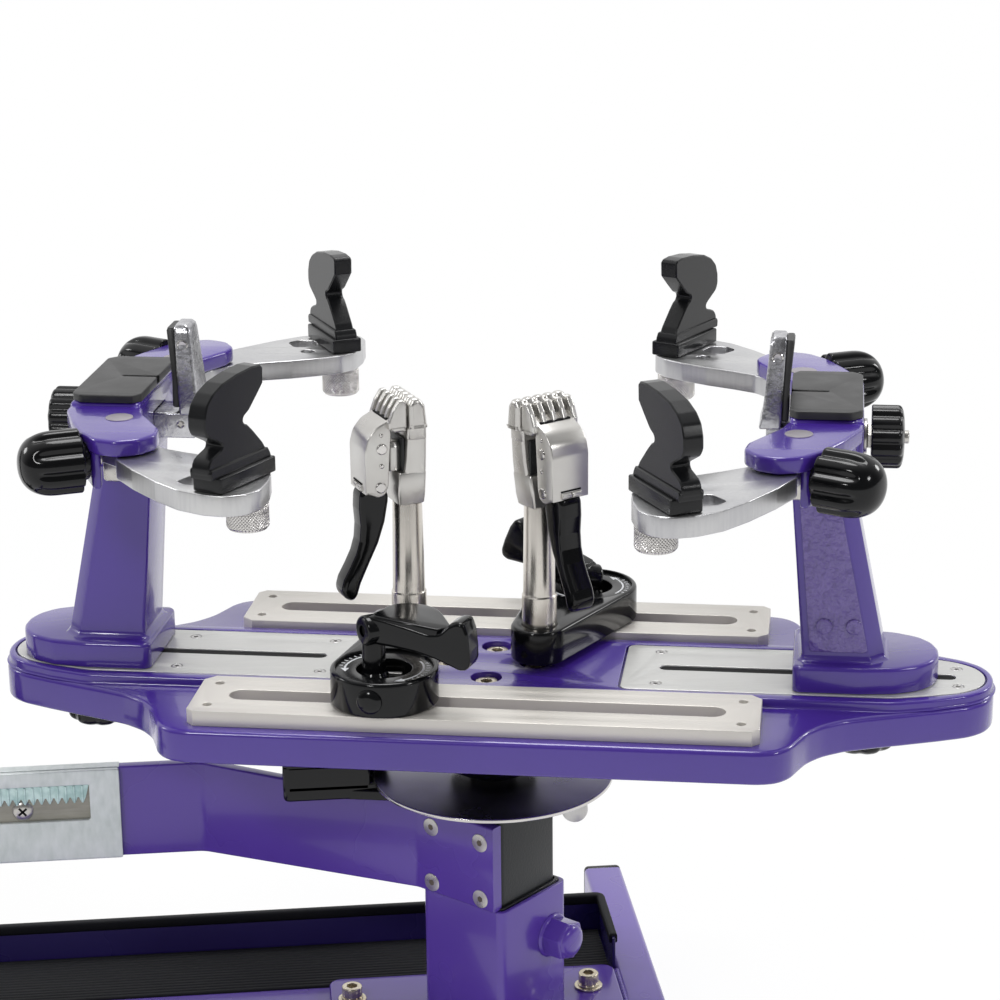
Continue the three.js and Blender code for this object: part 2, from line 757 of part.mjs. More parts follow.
// Tension head: a housing that rides on the arm, a post and the fixed half of the string gripper
function headHousing() {
  const armBack = armPath[2][1] + armThickness / 2;
  const rackFront = armPath[2][1] - armThickness / 2 - rackGap - rackThickness;
  const shell = box(
    headX - headHalfLength, headFrontY, headBottomZ,
    headX + headHalfLength, headBackY, headTopZ,
  );
  const channel = box(
    headX - 2 * headHalfLength, rackFront - headGap, armBottomFar - headGap,
    headX + 2 * headHalfLength, armBack + headGap, armTopFar + headGap,
  );
  const centre = (postFrontY + postBackY) / 2;
  const low = rectangle(headX - headHalfLength, headFrontY, headX + headHalfLength, headBackY);
  const high = rectangle(headX - postHalfX, postFrontY, headX + postHalfX, postBackY);
  const shoulder = loft(low, headTopZ, high, postSlantZ);
  const post = box(headX - postHalfX, postFrontY, postSlantZ, headX + postHalfX, postBackY, postTopZ);
  const block = box(
    headX - postHalfX, jawBlockFrontY, postTopZ,
    headX + postHalfX, postBackY, jawBlockTopZ,
  );
  const studBore = laid(cylinder(0, 0, studBoreRadius, 0, jawBlockFrontY, 16), -90, headX, centre, crankZ);
  return joined([shell, shoulder, post, block]).subtract(joined([channel, studBore]));
}

function stringGripper() {
  const back = jawBlockFrontY - gripGap;
  const low = postTopZ + gripLift;
  const front = gripFrontY + gripKnobLength / 2;
  const plate = box(headX - gripHalfX, front, low, headX + gripHalfX, back, jawBlockTopZ);
  const knob = cylinder(0, 0, gripKnobRadius, 0, gripKnobLength, 24);
  const knobBack = gripFrontY + gripKnobLength * gripKnobSinkShare;
  return joined([plate, laid(knob, -90, headX, knobBack, (low + jawBlockTopZ) / 2)]);
}

function crank() {
  const stud = cylinder(0, 0, studBoreRadius - pinGap, -crankHubLength, crankHubLength / 2, 16);
  const hubSolid = cylinder(0, 0, crankHubRadius, crankGap, crankHubLength, 24);
  const barLow = crankHubLength - crankBarThickness;
  const outline = hull(circle(0, 0, crankBarWidth / 2, 16), circle(crankReach, 0, crankBarWidth / 2, 16));
  const bar = slab(outline, barLow, crankHubLength);
  const gripEnd = crankHubLength + crankGripLength;
  const grip = cylinder(crankReach, 0, crankGripRadius, crankHubLength, gripEnd, 20);
  const whole = joined([stud, hubSolid, bar, grip]).rotate([0, 0, crankAngle]);
  return whole.rotate([90, 0, 0]).translate([headX, headFrontY, crankZ]);
}

// Brake body: the bearing plate on the column, a bar and the caliper that straddles the disc
function brakeBody() {
  const low = innerTopZ;
  const high = low + brakePlateThickness;
  const discLow = railTop + discTop - discThickness;
  const [left, right] = caliperX;
  const [front, back] = caliperY;
  const plate = slab(squareTube(innerSide, innerCorner), low, high);
  const middle = [(left + right) / 2, (front + back) / 2];
  const bar = slab(strip([[0, 0], middle], brakeBarHalfWidth), low, high);
  const ledge = slab(hull(
    circle(leverPivot[0], leverPivot[1], leverPivotRadius, 24),
    circle(leverPivot[0], (front + back) / 2, leverPivotRadius, 24),
  ), low, high);
  const block = box(left, front, low, right, back, low + caliperHeight);
  const gapSolid = cylinder(0, 0, discRadius + caliperSlotGap, discLow - caliperSlotGap,
    discLow + discThickness + caliperSlotGap, 64);
  const pinLow = low - leverThickness - 2 * leverGap;
  const pin = cylinder(leverPivot[0], leverPivot[1], leverPinRadius, pinLow, high, 20);
  const bore = cylinder(0, 0, bearingBoreRadius, 0, 2 * low, 32);
  return joined([plate, bar, ledge, block, pin]).subtract(joined([gapSolid, bore]));
}

function brakeLever() {
  const high = innerTopZ - leverGap;
  const low = high - leverThickness;
  const [start, end] = leverPath;
  const eye = cylinder(leverPivot[0], leverPivot[1], leverPivotRadius, low, high, 24);
  const bar = slab(strip([start, end], leverHalfWidth), low, high);
  const knob = laid(
    cylinder(0, 0, leverKnobRadius, 0, leverKnobLength, 24),
    -90, end[0], end[1] + leverHalfWidth / 2, leverKnobZ,
  );
  const hole = cylinder(leverPivot[0], leverPivot[1], leverPinRadius + leverPinGap, 0, 2 * high, 20);
  return joined([eye, bar, knob]).subtract(hole);
}

// Turntable body: a casting with two wings and two tongues
function turntableBody() {
  const wings = slab(mirroredFour(wingQuarter), tableBottom, wingTop);
  const beam = slab(mirroredFour(beamQuarter), wingTop - plateThickness, beamTop);
  const recesses = [0, 180].map((turn) => slab(
    turned(grown(platePoints(), plateGap), turn), beamTop - plateThickness, railTop,
  ));
  const [slotLow, slotHigh] = plateSlot;
  const slotRing = slotOutline(slotLow - plateGap, slotHigh + plateGap, 0, bodySlotHalf);
  const slots = [0, 180].map((turn) => slab(turned(slotRing, turn), 2 * tableBottom, railTop));
  const reach = railHalfLength - grooveEnd;
  const grooves = [-1, 1].map((side) => slab(
    slotOutline(-reach, reach, side * railSlotY, grooveHalf, 5), wingTop - grooveDepth, railTop,
  ));
  const holes = [0, 90, 180, 270].flatMap((turn) => {
    const [[x, y]] = turned([[hubBoltRadius, 0]], turn);
    return [
      cylinder(x, y, boltHoleRadius, 2 * tableBottom, 0, 12),
      cylinder(x, y, counterboreRadius, counterboreZ, railTop, 22),
    ];
  });
  return joined([wings, beam]).subtract(joined([...recesses, ...slots, ...grooves, ...holes]));
}

function platePoints() {
  return mirroredTwo([
    ...arc(plateInner + plateCorner, plateOutline[0][1] - plateCorner, plateCorner, 180, 90, 3),
    ...plateOutline.slice(1),
  ]);
}

// An outline moved outwards by a constant distance
function grown(points, distance) {
  const ring = counterClockwise(points);
  return ring.map(([x, y], i) => {
    const [px, py] = ring[(i + ring.length - 1) % ring.length];
    const [nx, ny] = ring[(i + 1) % ring.length];
    const before = Math.atan2(y - py, x - px);
    let turn = Math.atan2(ny - y, nx - x) - before;
    turn = Math.atan2(Math.sin(turn), Math.cos(turn));
    const normal = before + turn / 2 - Math.PI / 2;
    const reach = distance / Math.cos(turn / 2);
    return [x + reach * Math.cos(normal), y + reach * Math.sin(normal)];
  });
}

function endPlate(turn) {
  const [slotLow, slotHigh] = plateSlot;
  const plate = slab(platePoints(), beamTop - plateThickness, beamTop);
  const slot = slab(slotOutline(slotLow, slotHigh, 0, plateSlotHalf), 2 * tableBottom, railTop);
  return plate.subtract(slot).rotate([0, 0, turn]);
}

function clampRail(side) {
  const corners = (x, y, radius, from) => arc(x, y, radius, from, from + 90, 3);
  const inner = railInnerCorner;
  const outer = railOuterCorner;
  const outline = [
    ...corners(railHalfLength - inner, railInnerY + inner, inner, -90),
    ...corners(railHalfLength - outer, railOuterY - outer, outer, 0),
    ...corners(outer - railHalfLength, railOuterY - outer, outer, 90),
    ...corners(inner - railHalfLength, railInnerY + inner, inner, 180),
  ];
  const slotEnd = railHalfLength - railSlotEnd;
  const slot = slotOutline(-slotEnd, slotEnd, railSlotY, railSlotHalf, 7);
  const holeX = railHalfLength - railHoleEnd;
  const holes = [-holeX, holeX].flatMap((x) => railHoleY.map(
    (y) => cylinder(x, y, railHoleRadius, -railHoleDepth, railHoleDepth, 12),
  ));
  const rail = slab(outline, wingTop, 0).subtract(joined([slab(slot, 2 * wingTop, -wingTop), ...holes]));
  return side > 0 ? rail : rail.rotate([0, 0, 180]);
}

// Brake disc with its hub, spindle and the four socket screws that hold the turntable
function brakeDisc() {
  const low = discTop - discThickness;
  const seat = tableBottom - capGap / 2;
  const core = joined([
    cylinder(0, 0, spindleRadius, low - spindleLength, discTop, 40),
    cylinder(0, 0, discRadius, low, discTop, 56),
    cylinder(0, 0, hubRadius, low, seat, 28),
    cylinder(0, 0, hubFlangeRadius, seat - hubFlangeThickness, seat, 28),
  ]);
  const screws = [0, 90, 180, 270].map((turn) => {
    const [[x, y]] = turned([[hubBoltRadius, 0]], turn);
    const headLow = counterboreZ + capGap / 2;
    const headHigh = headLow + boltHeadHeight;
    return joined([
      cylinder(x, y, boltRadius, seat - boltRadius, headLow + boltRadius, 10),
      cylinder(x, y, boltHeadRadius, headLow, headHigh, 18),
    ]).subtract(cylinder(x, y, socketRadius, headHigh - socketDepth, headHigh + socketDepth, 6));
  });
  return joined([core, ...screws]);
}

// Tower casting: foot, leg, cross-head with two ears, arm pins and knob lugs
function towerCasting() {
  const foot = slab(mirroredTwo(footOutline), footFaceZ, footTopZ);
  const ring = ({ inner, outer, half }, grow) => roundedRectangle(
    inner - grow, -half - grow, outer + grow, half + grow, outerCorner, 2,
  );
  const flare = loft(ring(legBottom, legFlare), footTopZ, ring(legBottom, 0), footTopZ + legFlareZ);
  const leg = loft(ring(legBottom, 0), footTopZ + legFlareZ, ring(legTop, 0), legTopZ);
  const [[low], [high]] = headOutline;
  const head = box(low, -headOutline[0][1], headBlockBottom, high, headOutline[0][1], headBlockTop);
  const ears = [-1, 1].map((side) => slab(earOutline.map(([u, v]) => [u, side * v]), earBottom, earTop));
  const pins = [-1, 1].map((side) => joined([
    cylinder(0, side * pinV, pinRadius, pinNutBottom, earBottom + pinGap, 20),
    cylinder(0, side * pinV, pinNutRadius, pinNutBottom, armBottom - jawGap, 16),
  ]));
  const boss = cylinder(0, 0, legBossRadius, 0, legBossProud + legFlare, 12);
  const bossFace = legFlare - legBottom.half;
  const bosses = bossInset.map((u) => laid(boss, -90, legBottom.inner + u, bossFace, bossHeight));
  const channel = box(2 * low, -channelHalf, channelBottom, channelEndU, channelHalf, channelTop);
  const studBore = laid(cylinder(0, 0, studBoreRadius, 0, 2 * high, 14), 0, 0, 0, centreKnobZ);
  const lockRadius = lockStudRadius + lockStudGap;
  const lockBore = cylinder(lockU, 0, lockRadius, 2 * footFaceZ, lockStudTop + lockStudGap, 14);
  const knobBores = [-1, 1].map((side) => sideAxis(
    cylinder(0, 0, sideStudRadius + pinGap, -2 * sideStudBack, 0, 16), side,
  ));
  const skirts = [-1, 1].map((side) => slab(
    skirtOutline.map(([u, v]) => [u, side * v]), skirtBottom, earBottom + legBossProud,
  ));
  return joined([foot, flare, leg, head, ...ears, ...pins, ...bosses, ...skirts])
    .subtract(joined([channel, studBore, lockBore, ...knobBores]));
}

// A solid along Z laid on a side knob's axis, measured from the knob's inner face
function sideAxis(solid, side) {
  return laid(solid, side * sideKnobAngle, sideFace[0], side * sideFace[1], sideKnobZ);
}

function topPad() {
  const slit = box(2 * padOutline[0][0], -padSlitHalf, 0, padSlitEnd, padSlitHalf, railTop);
  return slab(mirroredTwo(padOutline), headBlockTop, padTop).subtract(slit);
}

function centreBracket(face) {
  const slider = box(face, -sliderHalf, sliderBottom, face + sliderLength, sliderHalf, sliderTop);
  const outline = [
    [-bracketHalf, sliderBottom], [bracketHalf, sliderBottom], [bracketHalf, sliderTop],
    [bracketTopHalf, bracketTopZ - bracketPlate], [bracketTopHalf - bracketPlate, bracketTopZ],
    [bracketPlate - bracketTopHalf, bracketTopZ], [-bracketTopHalf, bracketTopZ - bracketPlate],
    [-bracketHalf, sliderTop],
  ];
  const plate = upright(outline, 0, bracketPlate).rotate([0, 0, -90]).translate([face, 0, 0]);
  const thread = cylinder(0, 0, centreStudRadius + pinGap, 0, sliderLength, 16);
  return joined([slider, plate]).subtract(laid(thread, 0, face + bracketPlate, 0, centreKnobZ));
}

function bracketPad(face) {
  const [low, high] = bracketPadZ;
  const outline = [
    [-bracketPadHalf, low], [bracketPadHalf, low], [bracketPadTopHalf, high], [-bracketPadTopHalf, high],
  ];
  const pad = upright(outline, 0, bracketPadThickness);
  return pad.rotate([0, 0, -90]).translate([face + bracketPlate, 0, 0]);
}

// The centre knob and its screw
function centreKnob(face) {
  const studStart = face + bracketPlate + capGap + sliderLength / 3;
  const knob = flutedKnob(centreKnobRadius, centreKnobLength, centreNoseShare)
    .translate([0, 0, centreKnobU]);
  const washer = cylinder(0, 0, centreWasherRadius, centreWallU + capGap, centreKnobU, 18);
  const stud = cylinder(0, 0, centreStudRadius, studStart, centreStudEnd, 14);
  return laid(joined([knob, washer, stud]), 0, 0, 0, centreKnobZ);
}

function sideKnob(side) {
  const knob = flutedKnob(sideKnobRadius, sideKnobLength, sideNoseShare);
  const collar = cylinder(0, 0, sideCollarRadius, -sideCollarLength, sideCollarLength, 16);
  const stud = cylinder(0, 0, sideStudRadius, -sideStudBack, sideCollarLength, 16);
  return sideAxis(joined([knob, collar, stud]), side);
}

// An arm about its pin, swung outwards by some degrees
function armPoints(points, side, swing) {
  const c = Math.cos(rad(swing));
  const s = Math.sin(rad(swing));
  return points.map(([a, b]) => [-(a * c - b * s), side * (pinV + a * s + b * c)]);
}

function sideArm(side, swing) {
  const place = (points) => armPoints(points, side, swing);
  const [[holeU, holeV]] = place([armHole]);
  const [[studU, studV]] = place([nutPlace]);
  return slab(place(armOutline), armBottom, armTop).subtract(joined([
    slab(place(armWindow), 0, railTop),
    cylinder(holeU, holeV, armHoleRadius, 0, railTop, 12),
    cylinder(studU, studV, jawStudRadius + jawStudGap, 0, railTop, 16),
    cylinder(0, side * pinV, pinRadius + pinGap, 0, railTop, 20),
  ]));
}

// A jaw on its base block, with the stud through the arm and the round nut below it
function jaw(side, swing, angle) {
  const low = armTop + jawGap;
  const base = box(0, -jawBaseHalf, low, jawBaseLength, jawBaseHalf, low + jawBaseHeight);
  const hook = upright(jawProfile.map(([s, z]) => [s, z + low]), -jawHalf, jawHalf);
  const studS = jawStudShare * jawBaseLength;
  const nutProfile = [
    [0, nutBottom], [nutRadius - nutChamfer, nutBottom], [nutRadius, nutBottom + nutChamfer],
    [nutRadius, nutTop], [0, nutTop],
  ];
  const shank = cylinder(0, 0, jawStudRadius, nutTop - jawStudRadius, low + jawStudRadius, 16);
  const stud = joined([shank, revolved(nutProfile, 20)]);
  const [[u, v]] = armPoints([nutPlace], side, swing);
  return joined([base, hook, stud.translate([studS, 0, 0])])
    .translate([-studS, 0, 0])
    .rotate([0, 0, side > 0 ? 180 + angle : 180 - angle])
    .translate([u, v, 0]);
}

function lockKnob() {
  const top = tableBottom - lockKnobGap;
  const knob = flutedKnob(lockKnobRadius, lockKnobHeight, lockNoseShare)
    .rotate([180, 0, 0]).translate([0, 0, top]);
  const stud = cylinder(0, 0, lockStudRadius, top - lockKnobHeight / 2, lockStudTop, 14);
  return joined([knob, stud]).translate([lockU, 0, 0]);
}

// String clamp: the slide nut in the rail's groove
function slideNut([x, y]) {
  const [low, high] = nutDiscZ;
  return joined([
    cylinder(x, y, nutDiscRadius, low, high, 20),
    cylinder(x, y, nutStemRadius, low, nutCapZ, 20),
    cylinder(x, y, nutCapRadius, nutCapZ - nutCapThickness, nutCapZ, 20),
  ]);
}

function clampBase(dial, post, screw) {
  const body = slab(hull(
    circle(dial[0], dial[1], dialRadius, 36),
    circle(post[0], post[1], clampPostEnd, 24),
  ), clampGap, clampHeight);
  const neck = nutCapZ - nutCapThickness;
  return body.subtract(joined([
    cylinder(dial[0], dial[1], dialRecessRadius, clampHeight - dialRecessDepth, railTop, 32),
    cylinder(screw[0], screw[1], dialBoreRadius, neck - clampGap, railTop, 20),
    cylinder(screw[0], screw[1], nutStemRadius + clampGap, -clampHeight, railTop, 20),
    cylinder(post[0], post[1], postLowRadius + postGap, clampHeight - postSocket, railTop, 24),
  ]));
}

// The cam lever: a hub on the nut, a curved paddle and the flat palm rest on top of it
function camLever({ at, z, yawDegrees, tiltDegrees }) {
  const paddle = upright(leverProfile, -leverBodyHalf, leverBodyHalf);
  const { start, end, startRadius, endRadius, low, high } = leverPalm;
  const palm = slab(hull(circle(...start, startRadius, 28), circle(...end, endRadius, 12)), low, high);
  const body = joined([paddle, palm]).rotate([0, -tiltDegrees, yawDegrees]).translate([0, 0, z]);
  const hub = cylinder(0, 0, leverHubRadius, leverHubZ, z, 20);
  return joined([hub, body]).translate([...at, 0]);
}

function clampPostSolid([x, y]) {
  const low = clampHeight - postSocket + postGap / 2;
  return revolved([
    [0, low], [postLowRadius, low], [postLowRadius, postCollarZ - 1], [postMidRadius, postCollarZ],
    [postTopRadius, headBottomFace - postGap], [postSpigotRadius, headBottomFace - postGap],
    [postSpigotRadius, postEndZ], [0, postEndZ],
  ], 24).translate([x, y, 0]);
}

// A clamp head about its post: p across, q towards the moving jaw
function headSpace(solid, [x, y], yaw) {
  return solid.translate([0, -headPostQ, 0]).rotate([0, 0, yaw - 90]).translate([x, y, 0]);
}

function tooth(profile, index) {
  const p = (index - (toothCount - 1) / 2) * toothPitch;
  const outline = profile.map(([q, z]) => [q, z + toothRoot]);
  return upright(outline, -toothWidth / 2, toothWidth / 2).rotate([0, 0, 90]).translate([p, 0, 0]);
}

function toothRow(profile) {
  return Array.from({ length: toothCount }, (_, i) => tooth(profile, i));
}

// The bar that a jaw's teeth stand on
function toothBridge(side) {
  const reach = ((toothCount - 1) * toothPitch + toothWidth) / 2 - postGap;
  const [near, far] = bridgeQ[side];
  const [low, high] = bridgeZ[side];
  return box(-reach, near, low, reach, far, high);
}

function clampHead(post, yaw) {
  const body = upright(headBodyProfile, -headBodyHalf, headBodyHalf).rotate([0, 0, 90]);
  const collar = cylinder(0, headPostQ, headCollarRadius, headBottomFace, headCollarTop - postGap, 24);
  const bridge = toothBridge("fixed");
  const bore = cylinder(0, headPostQ, postSpigotRadius + postGap, 0, postEndZ + postGap, 20);
  const window = box(-headSlotHalf, headSlotQ, headSlotZ[0], headSlotHalf, railTop, headSlotZ[1]);
  const solid = joined([body, collar, bridge, ...toothRow(fixedTooth)]);
  return headSpace(solid.subtract(joined([bore, window])), post, yaw);
}

function clampJaw(post, yaw) {
  const cover = upright(coverProfile, -coverHalf, coverHalf).rotate([0, 0, 90]);
  const bridge = toothBridge("moving");
  const slotHalf = handleHalf + handleGap;
  const slot = box(-slotHalf, handleProfile[1][0] - handleGap, 0, slotHalf, railTop, handleSlotTop);
  return headSpace(joined([cover, bridge, ...toothRow(movingTooth)]).subtract(slot), post, yaw);
}

function clampHandle(post, yaw) {
  const body = upright(handleProfile, -handleHalf, handleHalf).rotate([0, 0, 90]);
  return headSpace(body, post, yaw);
}

// Assembly
const machine = new THREE.Group();

machine.add(part("base_frame", baseFrame(), paint));
for (const [side, sign] of [["front", -1], ["rear", 1]]) {
  machine.add(part(`foot_cap_${side}_left`, footCap(footLeftX - footWidth, sign), black));
  machine.add(part(`foot_cap_${side}_right`, footCap(footRightX, sign), black));
}
machine.add(part("tool_tray", toolTray(), paint));
machine.add(part("tray_mat", trayMat(), rubber));
machine.add(part("outer_column", outerColumn(), paint));
machine.add(part("inner_column", innerColumn(), blackSteel));
machine.add(part("tension_arm", tensionArm(), paint));
machine.add(part("rack_plate", rackPlate(), zinc));
machine.add(part("brake_body", brakeBody(), black));
machine.add(part("brake_lever", brakeLever(), satin));
machine.add(part("tension_head", headHousing(), black));
machine.add(part("string_gripper", stringGripper(), bright));
machine.add(part("tension_crank", crank(), black));

const table = new THREE.Group();
table.position.z = railTop;
table.rotation.z = rad(tableTurn);
machine.add(table);

table.add(part("turntable_body", turntableBody(), paint));
table.add(part("clamp_rail_front", clampRail(-1), satin));
table.add(part("clamp_rail_rear", clampRail(1), satin));
table.add(part("end_plate_right", endPlate(0), satin));
table.add(part("end_plate_left", endPlate(180), satin));
table.add(part("brake_disc", brakeDisc(), bright));

for (const end of ["left", "right"]) {
  const tower = new THREE.Group();
  const turn = end === "left" ? 180 : 0;
  tower.position.x = end === "left" ? -towerU.left : towerU.right;
  tower.rotation.z = rad(turn);
  table.add(tower);
  const face = bracketFace[end];
  tower.add(part(`tower_${end}`, towerCasting(), paint));
  tower.add(part(`top_pad_${end}`, topPad(), rubber));
  tower.add(part(`centre_bracket_${end}`, centreBracket(face), zinc));
  tower.add(part(`bracket_pad_${end}`, bracketPad(face), rubber));
  tower.add(part(`centre_knob_${end}`, centreKnob(face), black));
  tower.add(part(`lock_knob_${end}`, lockKnob(), black));
  for (const place of ["front", "rear"]) {
    const nearSide = end === "left" ? 1 : -1;
    const side = place === "front" ? nearSide : -nearSide;
    const swing = swingDegrees[end][place];
    tower.add(part(`side_knob_${end}_${place}`, sideKnob(side), black));
    tower.add(part(`side_arm_${end}_${place}`, sideArm(side, swing), satin));
    tower.add(part(`jaw_${end}_${place}`, jaw(side, swing, jawDegrees[end][place]), black));
  }
}

for (const end of ["left", "right"]) {
  const dial = clampDial[end];
  const post = clampPost[end];
  const yaw = headDegrees[end];
  table.add(part(`slide_nut_${end}`, slideNut(leverPlace[end].at), zinc));
  table.add(part(`clamp_base_${end}`, clampBase(dial, post, leverPlace[end].at), black));
  table.add(part(`cam_lever_${end}`, camLever(leverPlace[end]), black));
  table.add(part(`clamp_post_${end}`, clampPostSolid(post), bright));
  table.add(part(`clamp_head_${end}`, clampHead(post, yaw), bright));
  table.add(part(`clamp_jaw_${end}`, clampJaw(post, yaw), bright));
  table.add(part(`clamp_handle_${end}`, clampHandle(post, yaw), black));
}

export default machine;
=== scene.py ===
import math

import bmesh
import bpy
import numpy as np
from mathutils import Matrix, Vector
from mathutils.geometry import tessellate_polygon


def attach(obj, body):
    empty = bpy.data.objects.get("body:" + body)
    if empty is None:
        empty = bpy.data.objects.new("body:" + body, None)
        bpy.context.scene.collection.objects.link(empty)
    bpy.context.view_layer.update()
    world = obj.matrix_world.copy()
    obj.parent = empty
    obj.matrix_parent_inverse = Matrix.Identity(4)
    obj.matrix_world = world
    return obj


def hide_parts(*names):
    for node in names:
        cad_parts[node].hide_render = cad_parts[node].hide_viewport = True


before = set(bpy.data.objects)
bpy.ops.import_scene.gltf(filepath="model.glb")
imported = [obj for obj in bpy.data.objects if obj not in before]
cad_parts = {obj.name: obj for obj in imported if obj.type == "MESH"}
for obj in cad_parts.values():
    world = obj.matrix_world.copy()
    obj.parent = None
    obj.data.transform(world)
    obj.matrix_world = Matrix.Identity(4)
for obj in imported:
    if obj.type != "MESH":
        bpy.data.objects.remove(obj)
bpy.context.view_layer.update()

# Racket stringing machine. Lengths are millimetres until a piece is made, which is where they become metres.
# X runs along the base beam, Y away from the operator and Z up from the bench.
metresPerMm = 0.001


# outlines are arrays of points that go round anticlockwise

def arc(x, y, radius, start, end, count=7):
    # a point goes round (x, y) at one radius, from the start angle to the end angle
    t = np.radians(np.linspace(start, end, count))
    return np.column_stack([x + radius * np.cos(t), y + radius * np.sin(t)])


def circle(x, y, radius, count=40):
    return arc(x, y, radius, 0, 360, count + 1)[:-1]


def hexagon(across, turn=0):
    t = np.radians(np.arange(6) * 60 + turn)
    r = across / 2 / math.cos(math.radians(30))
    return np.column_stack([r * np.cos(t), r * np.sin(t)])


def rounded(points, radius, count=5):
    # every corner becomes an arc that touches both of its sides; radius is one number or one per corner
    points = np.asarray(points, float)
    radii = np.broadcast_to(np.asarray(radius, float), len(points))
    made = []
    for i, corner in enumerate(points):
        a, b = points[i - 1] - corner, points[(i + 1) % len(points)] - corner
        lengthA, lengthB = np.linalg.norm(a), np.linalg.norm(b)
        a, b = a / lengthA, b / lengthB
        half = math.acos(float(np.clip(a @ b, -1, 1))) / 2
        if radii[i] <= 0 or half > math.radians(88):
            made.append(corner[None])
            continue
        cut = min(radii[i] / math.tan(half), 0.48 * lengthA, 0.48 * lengthB)
        middle = corner + (a + b) / np.linalg.norm(a + b) * cut / math.cos(half)
        start, end = [math.degrees(math.atan2(*(corner + d * cut - middle)[::-1])) for d in (a, b)]
        turn = (end - start + 180) % 360 - 180
        made.append(arc(*middle, cut * math.tan(half), start, start + turn, count))
    return np.vstack(made)


def rectangle(lowX, lowY, highX, highY, radius=0, count=5):
    return rounded([[lowX, lowY], [highX, lowY], [highX, highY], [lowX, highY]], radius, count)


def slotLoop(lowX, highX, y, half, count=9):
    return np.vstack([arc(highX - half, y, half, -90, 90, count), arc(lowX + half, y, half, 90, 270, count)])


def anticlockwise(loop):
    x, y = np.asarray(loop, float).T
    return np.column_stack([x, y])[::1 if np.sum(x * np.roll(y, -1) - np.roll(x, -1) * y) > 0 else -1]


def mirroredLoop(points, both=False):
    # the side with positive Y mirrored in the X axis, or a quarter mirrored in both axes
    p = np.asarray(points, float)
    loop = np.vstack([p, p[::-1] * [1, -1]])
    if both:
        loop = np.vstack([loop, p * [-1, -1], p[::-1] * [-1, 1]])
        loop = loop[np.argsort(np.arctan2(loop[:, 1], loop[:, 0]), kind="stable")]
    loop = anticlockwise(loop)
    return loop[np.linalg.norm(loop - np.roll(loop, 1, 0), axis=1) > 1e-4]


def hullOf(*loops):
    # the smallest outline without hollows round all the points, as a lower and an upper chain
    points = sorted(map(tuple, np.round(np.vstack(loops), 6)))
    def turnOf(a, b, c):
        return (b[0] - a[0]) * (c[1] - b[1]) - (b[1] - a[1]) * (c[0] - b[0])
    def chain(ordered):
        kept = []
        for p in ordered:
            while len(kept) > 1 and turnOf(kept[-2], kept[-1], p) <= 0:
                kept.pop()
            kept.append(p)
        return kept[:-1]
    return np.array(chain(points) + chain(points[::-1]))


def inset(loop, depth):
    # every point moves to its left by the depth, along the line that halves its corner
    a, b = loop - np.roll(loop, 1, 0), np.roll(loop, -1, 0) - loop
    a /= np.linalg.norm(a, axis=1, keepdims=True)
    b /= np.linalg.norm(b, axis=1, keepdims=True)
    na, nb = np.column_stack([-a[:, 1], a[:, 0]]), np.column_stack([-b[:, 1], b[:, 0]])
    return loop + depth * (na + nb) / np.maximum(1 + np.sum(na * nb, axis=1, keepdims=True), 0.4)


def bar(path, half):
    # the outline of a strip along a bent path
    path = np.asarray(path, float)
    d = np.diff(path, axis=0)
    d /= np.linalg.norm(d, axis=1, keepdims=True)
    n = np.column_stack([-d[:, 1], d[:, 0]])
    before, after = np.vstack([n[:1], n]), np.vstack([n, n[-1:]])
    side = (before + after) / (1 + np.sum(before * after, axis=1, keepdims=True))
    return anticlockwise(np.vstack([path + half * side, (path - half * side)[::-1]]))


# a shell is points, faces and a flag per face that says whether it is flat

def join(shells):
    points, faces, flat, start = [], [], [], 0
    for p, f, s in shells:
        points.append(p)
        faces += [tuple(i + start for i in face) for face in f]
        flat += s
        start += len(p)
    return np.vstack(points), faces, flat


def skin(rings):
    # rings of the same number of points, each joined to the next by a band of quads
    rings = np.asarray(rings, float)
    rows, count = rings.shape[:2]
    i, j = np.meshgrid(np.arange(rows - 1), np.arange(count), indexing="ij")
    k = (j + 1) % count
    corners = (i * count + j, i * count + k, (i + 1) * count + k, (i + 1) * count + j)
    quads = np.stack(corners, -1).reshape(-1, 4)
    return rings.reshape(-1, 3), [tuple(q) for q in quads.tolist()], [False] * len(quads)


def level(loop, z):
    return np.column_stack([loop, np.full(len(loop), float(z))])


def cap(loops, z):
    # a flat face at one height inside the first loop and outside the others
    faces = [tuple(f) for f in tessellate_polygon([[Vector((x, y, 0)) for x, y in loop] for loop in loops])]
    return level(np.vstack(loops), z), faces, [True] * len(faces)


def stations(low, high, lowEdge=0.0, highEdge=0.0, count=4):
    # (inset, height) pairs up a wall whose ends curve inwards in quarter circles
    s, c = (f(np.radians(np.linspace(0, 90, count))) for f in (np.sin, np.cos))
    up = np.column_stack([lowEdge * (1 - s), low + lowEdge * (1 - c)]) if lowEdge else [[0, low]]
    down = np.column_stack([highEdge * (1 - c), high - highEdge * (1 - s)]) if highEdge else [[0, high]]
    return np.vstack([up, down])


def wall(loop, levels):
    return skin([level(inset(loop, d), z) for d, z in levels])


def slab(outer, low, high, edge=0.6, holes=(), foot=None, holeEdge=None, count=4):
    # a plate with rounded edges and holes through it
    foot = edge if foot is None else foot
    shells, lows, highs = [], [], []
    for n, loop in enumerate([outer, *holes]):
        loop = anticlockwise(loop)[::-1 if n else 1]
        edges = (foot, edge) if n == 0 or holeEdge is None else (min(foot, holeEdge), min(edge, holeEdge))
        levels = stations(low, high, *edges, count)
        shells.append(wall(loop, levels))
        lows.append(inset(loop, levels[0][0]))
        highs.append(inset(loop, levels[-1][0]))
    return join([*shells, cap(lows, low), cap(highs, high)])


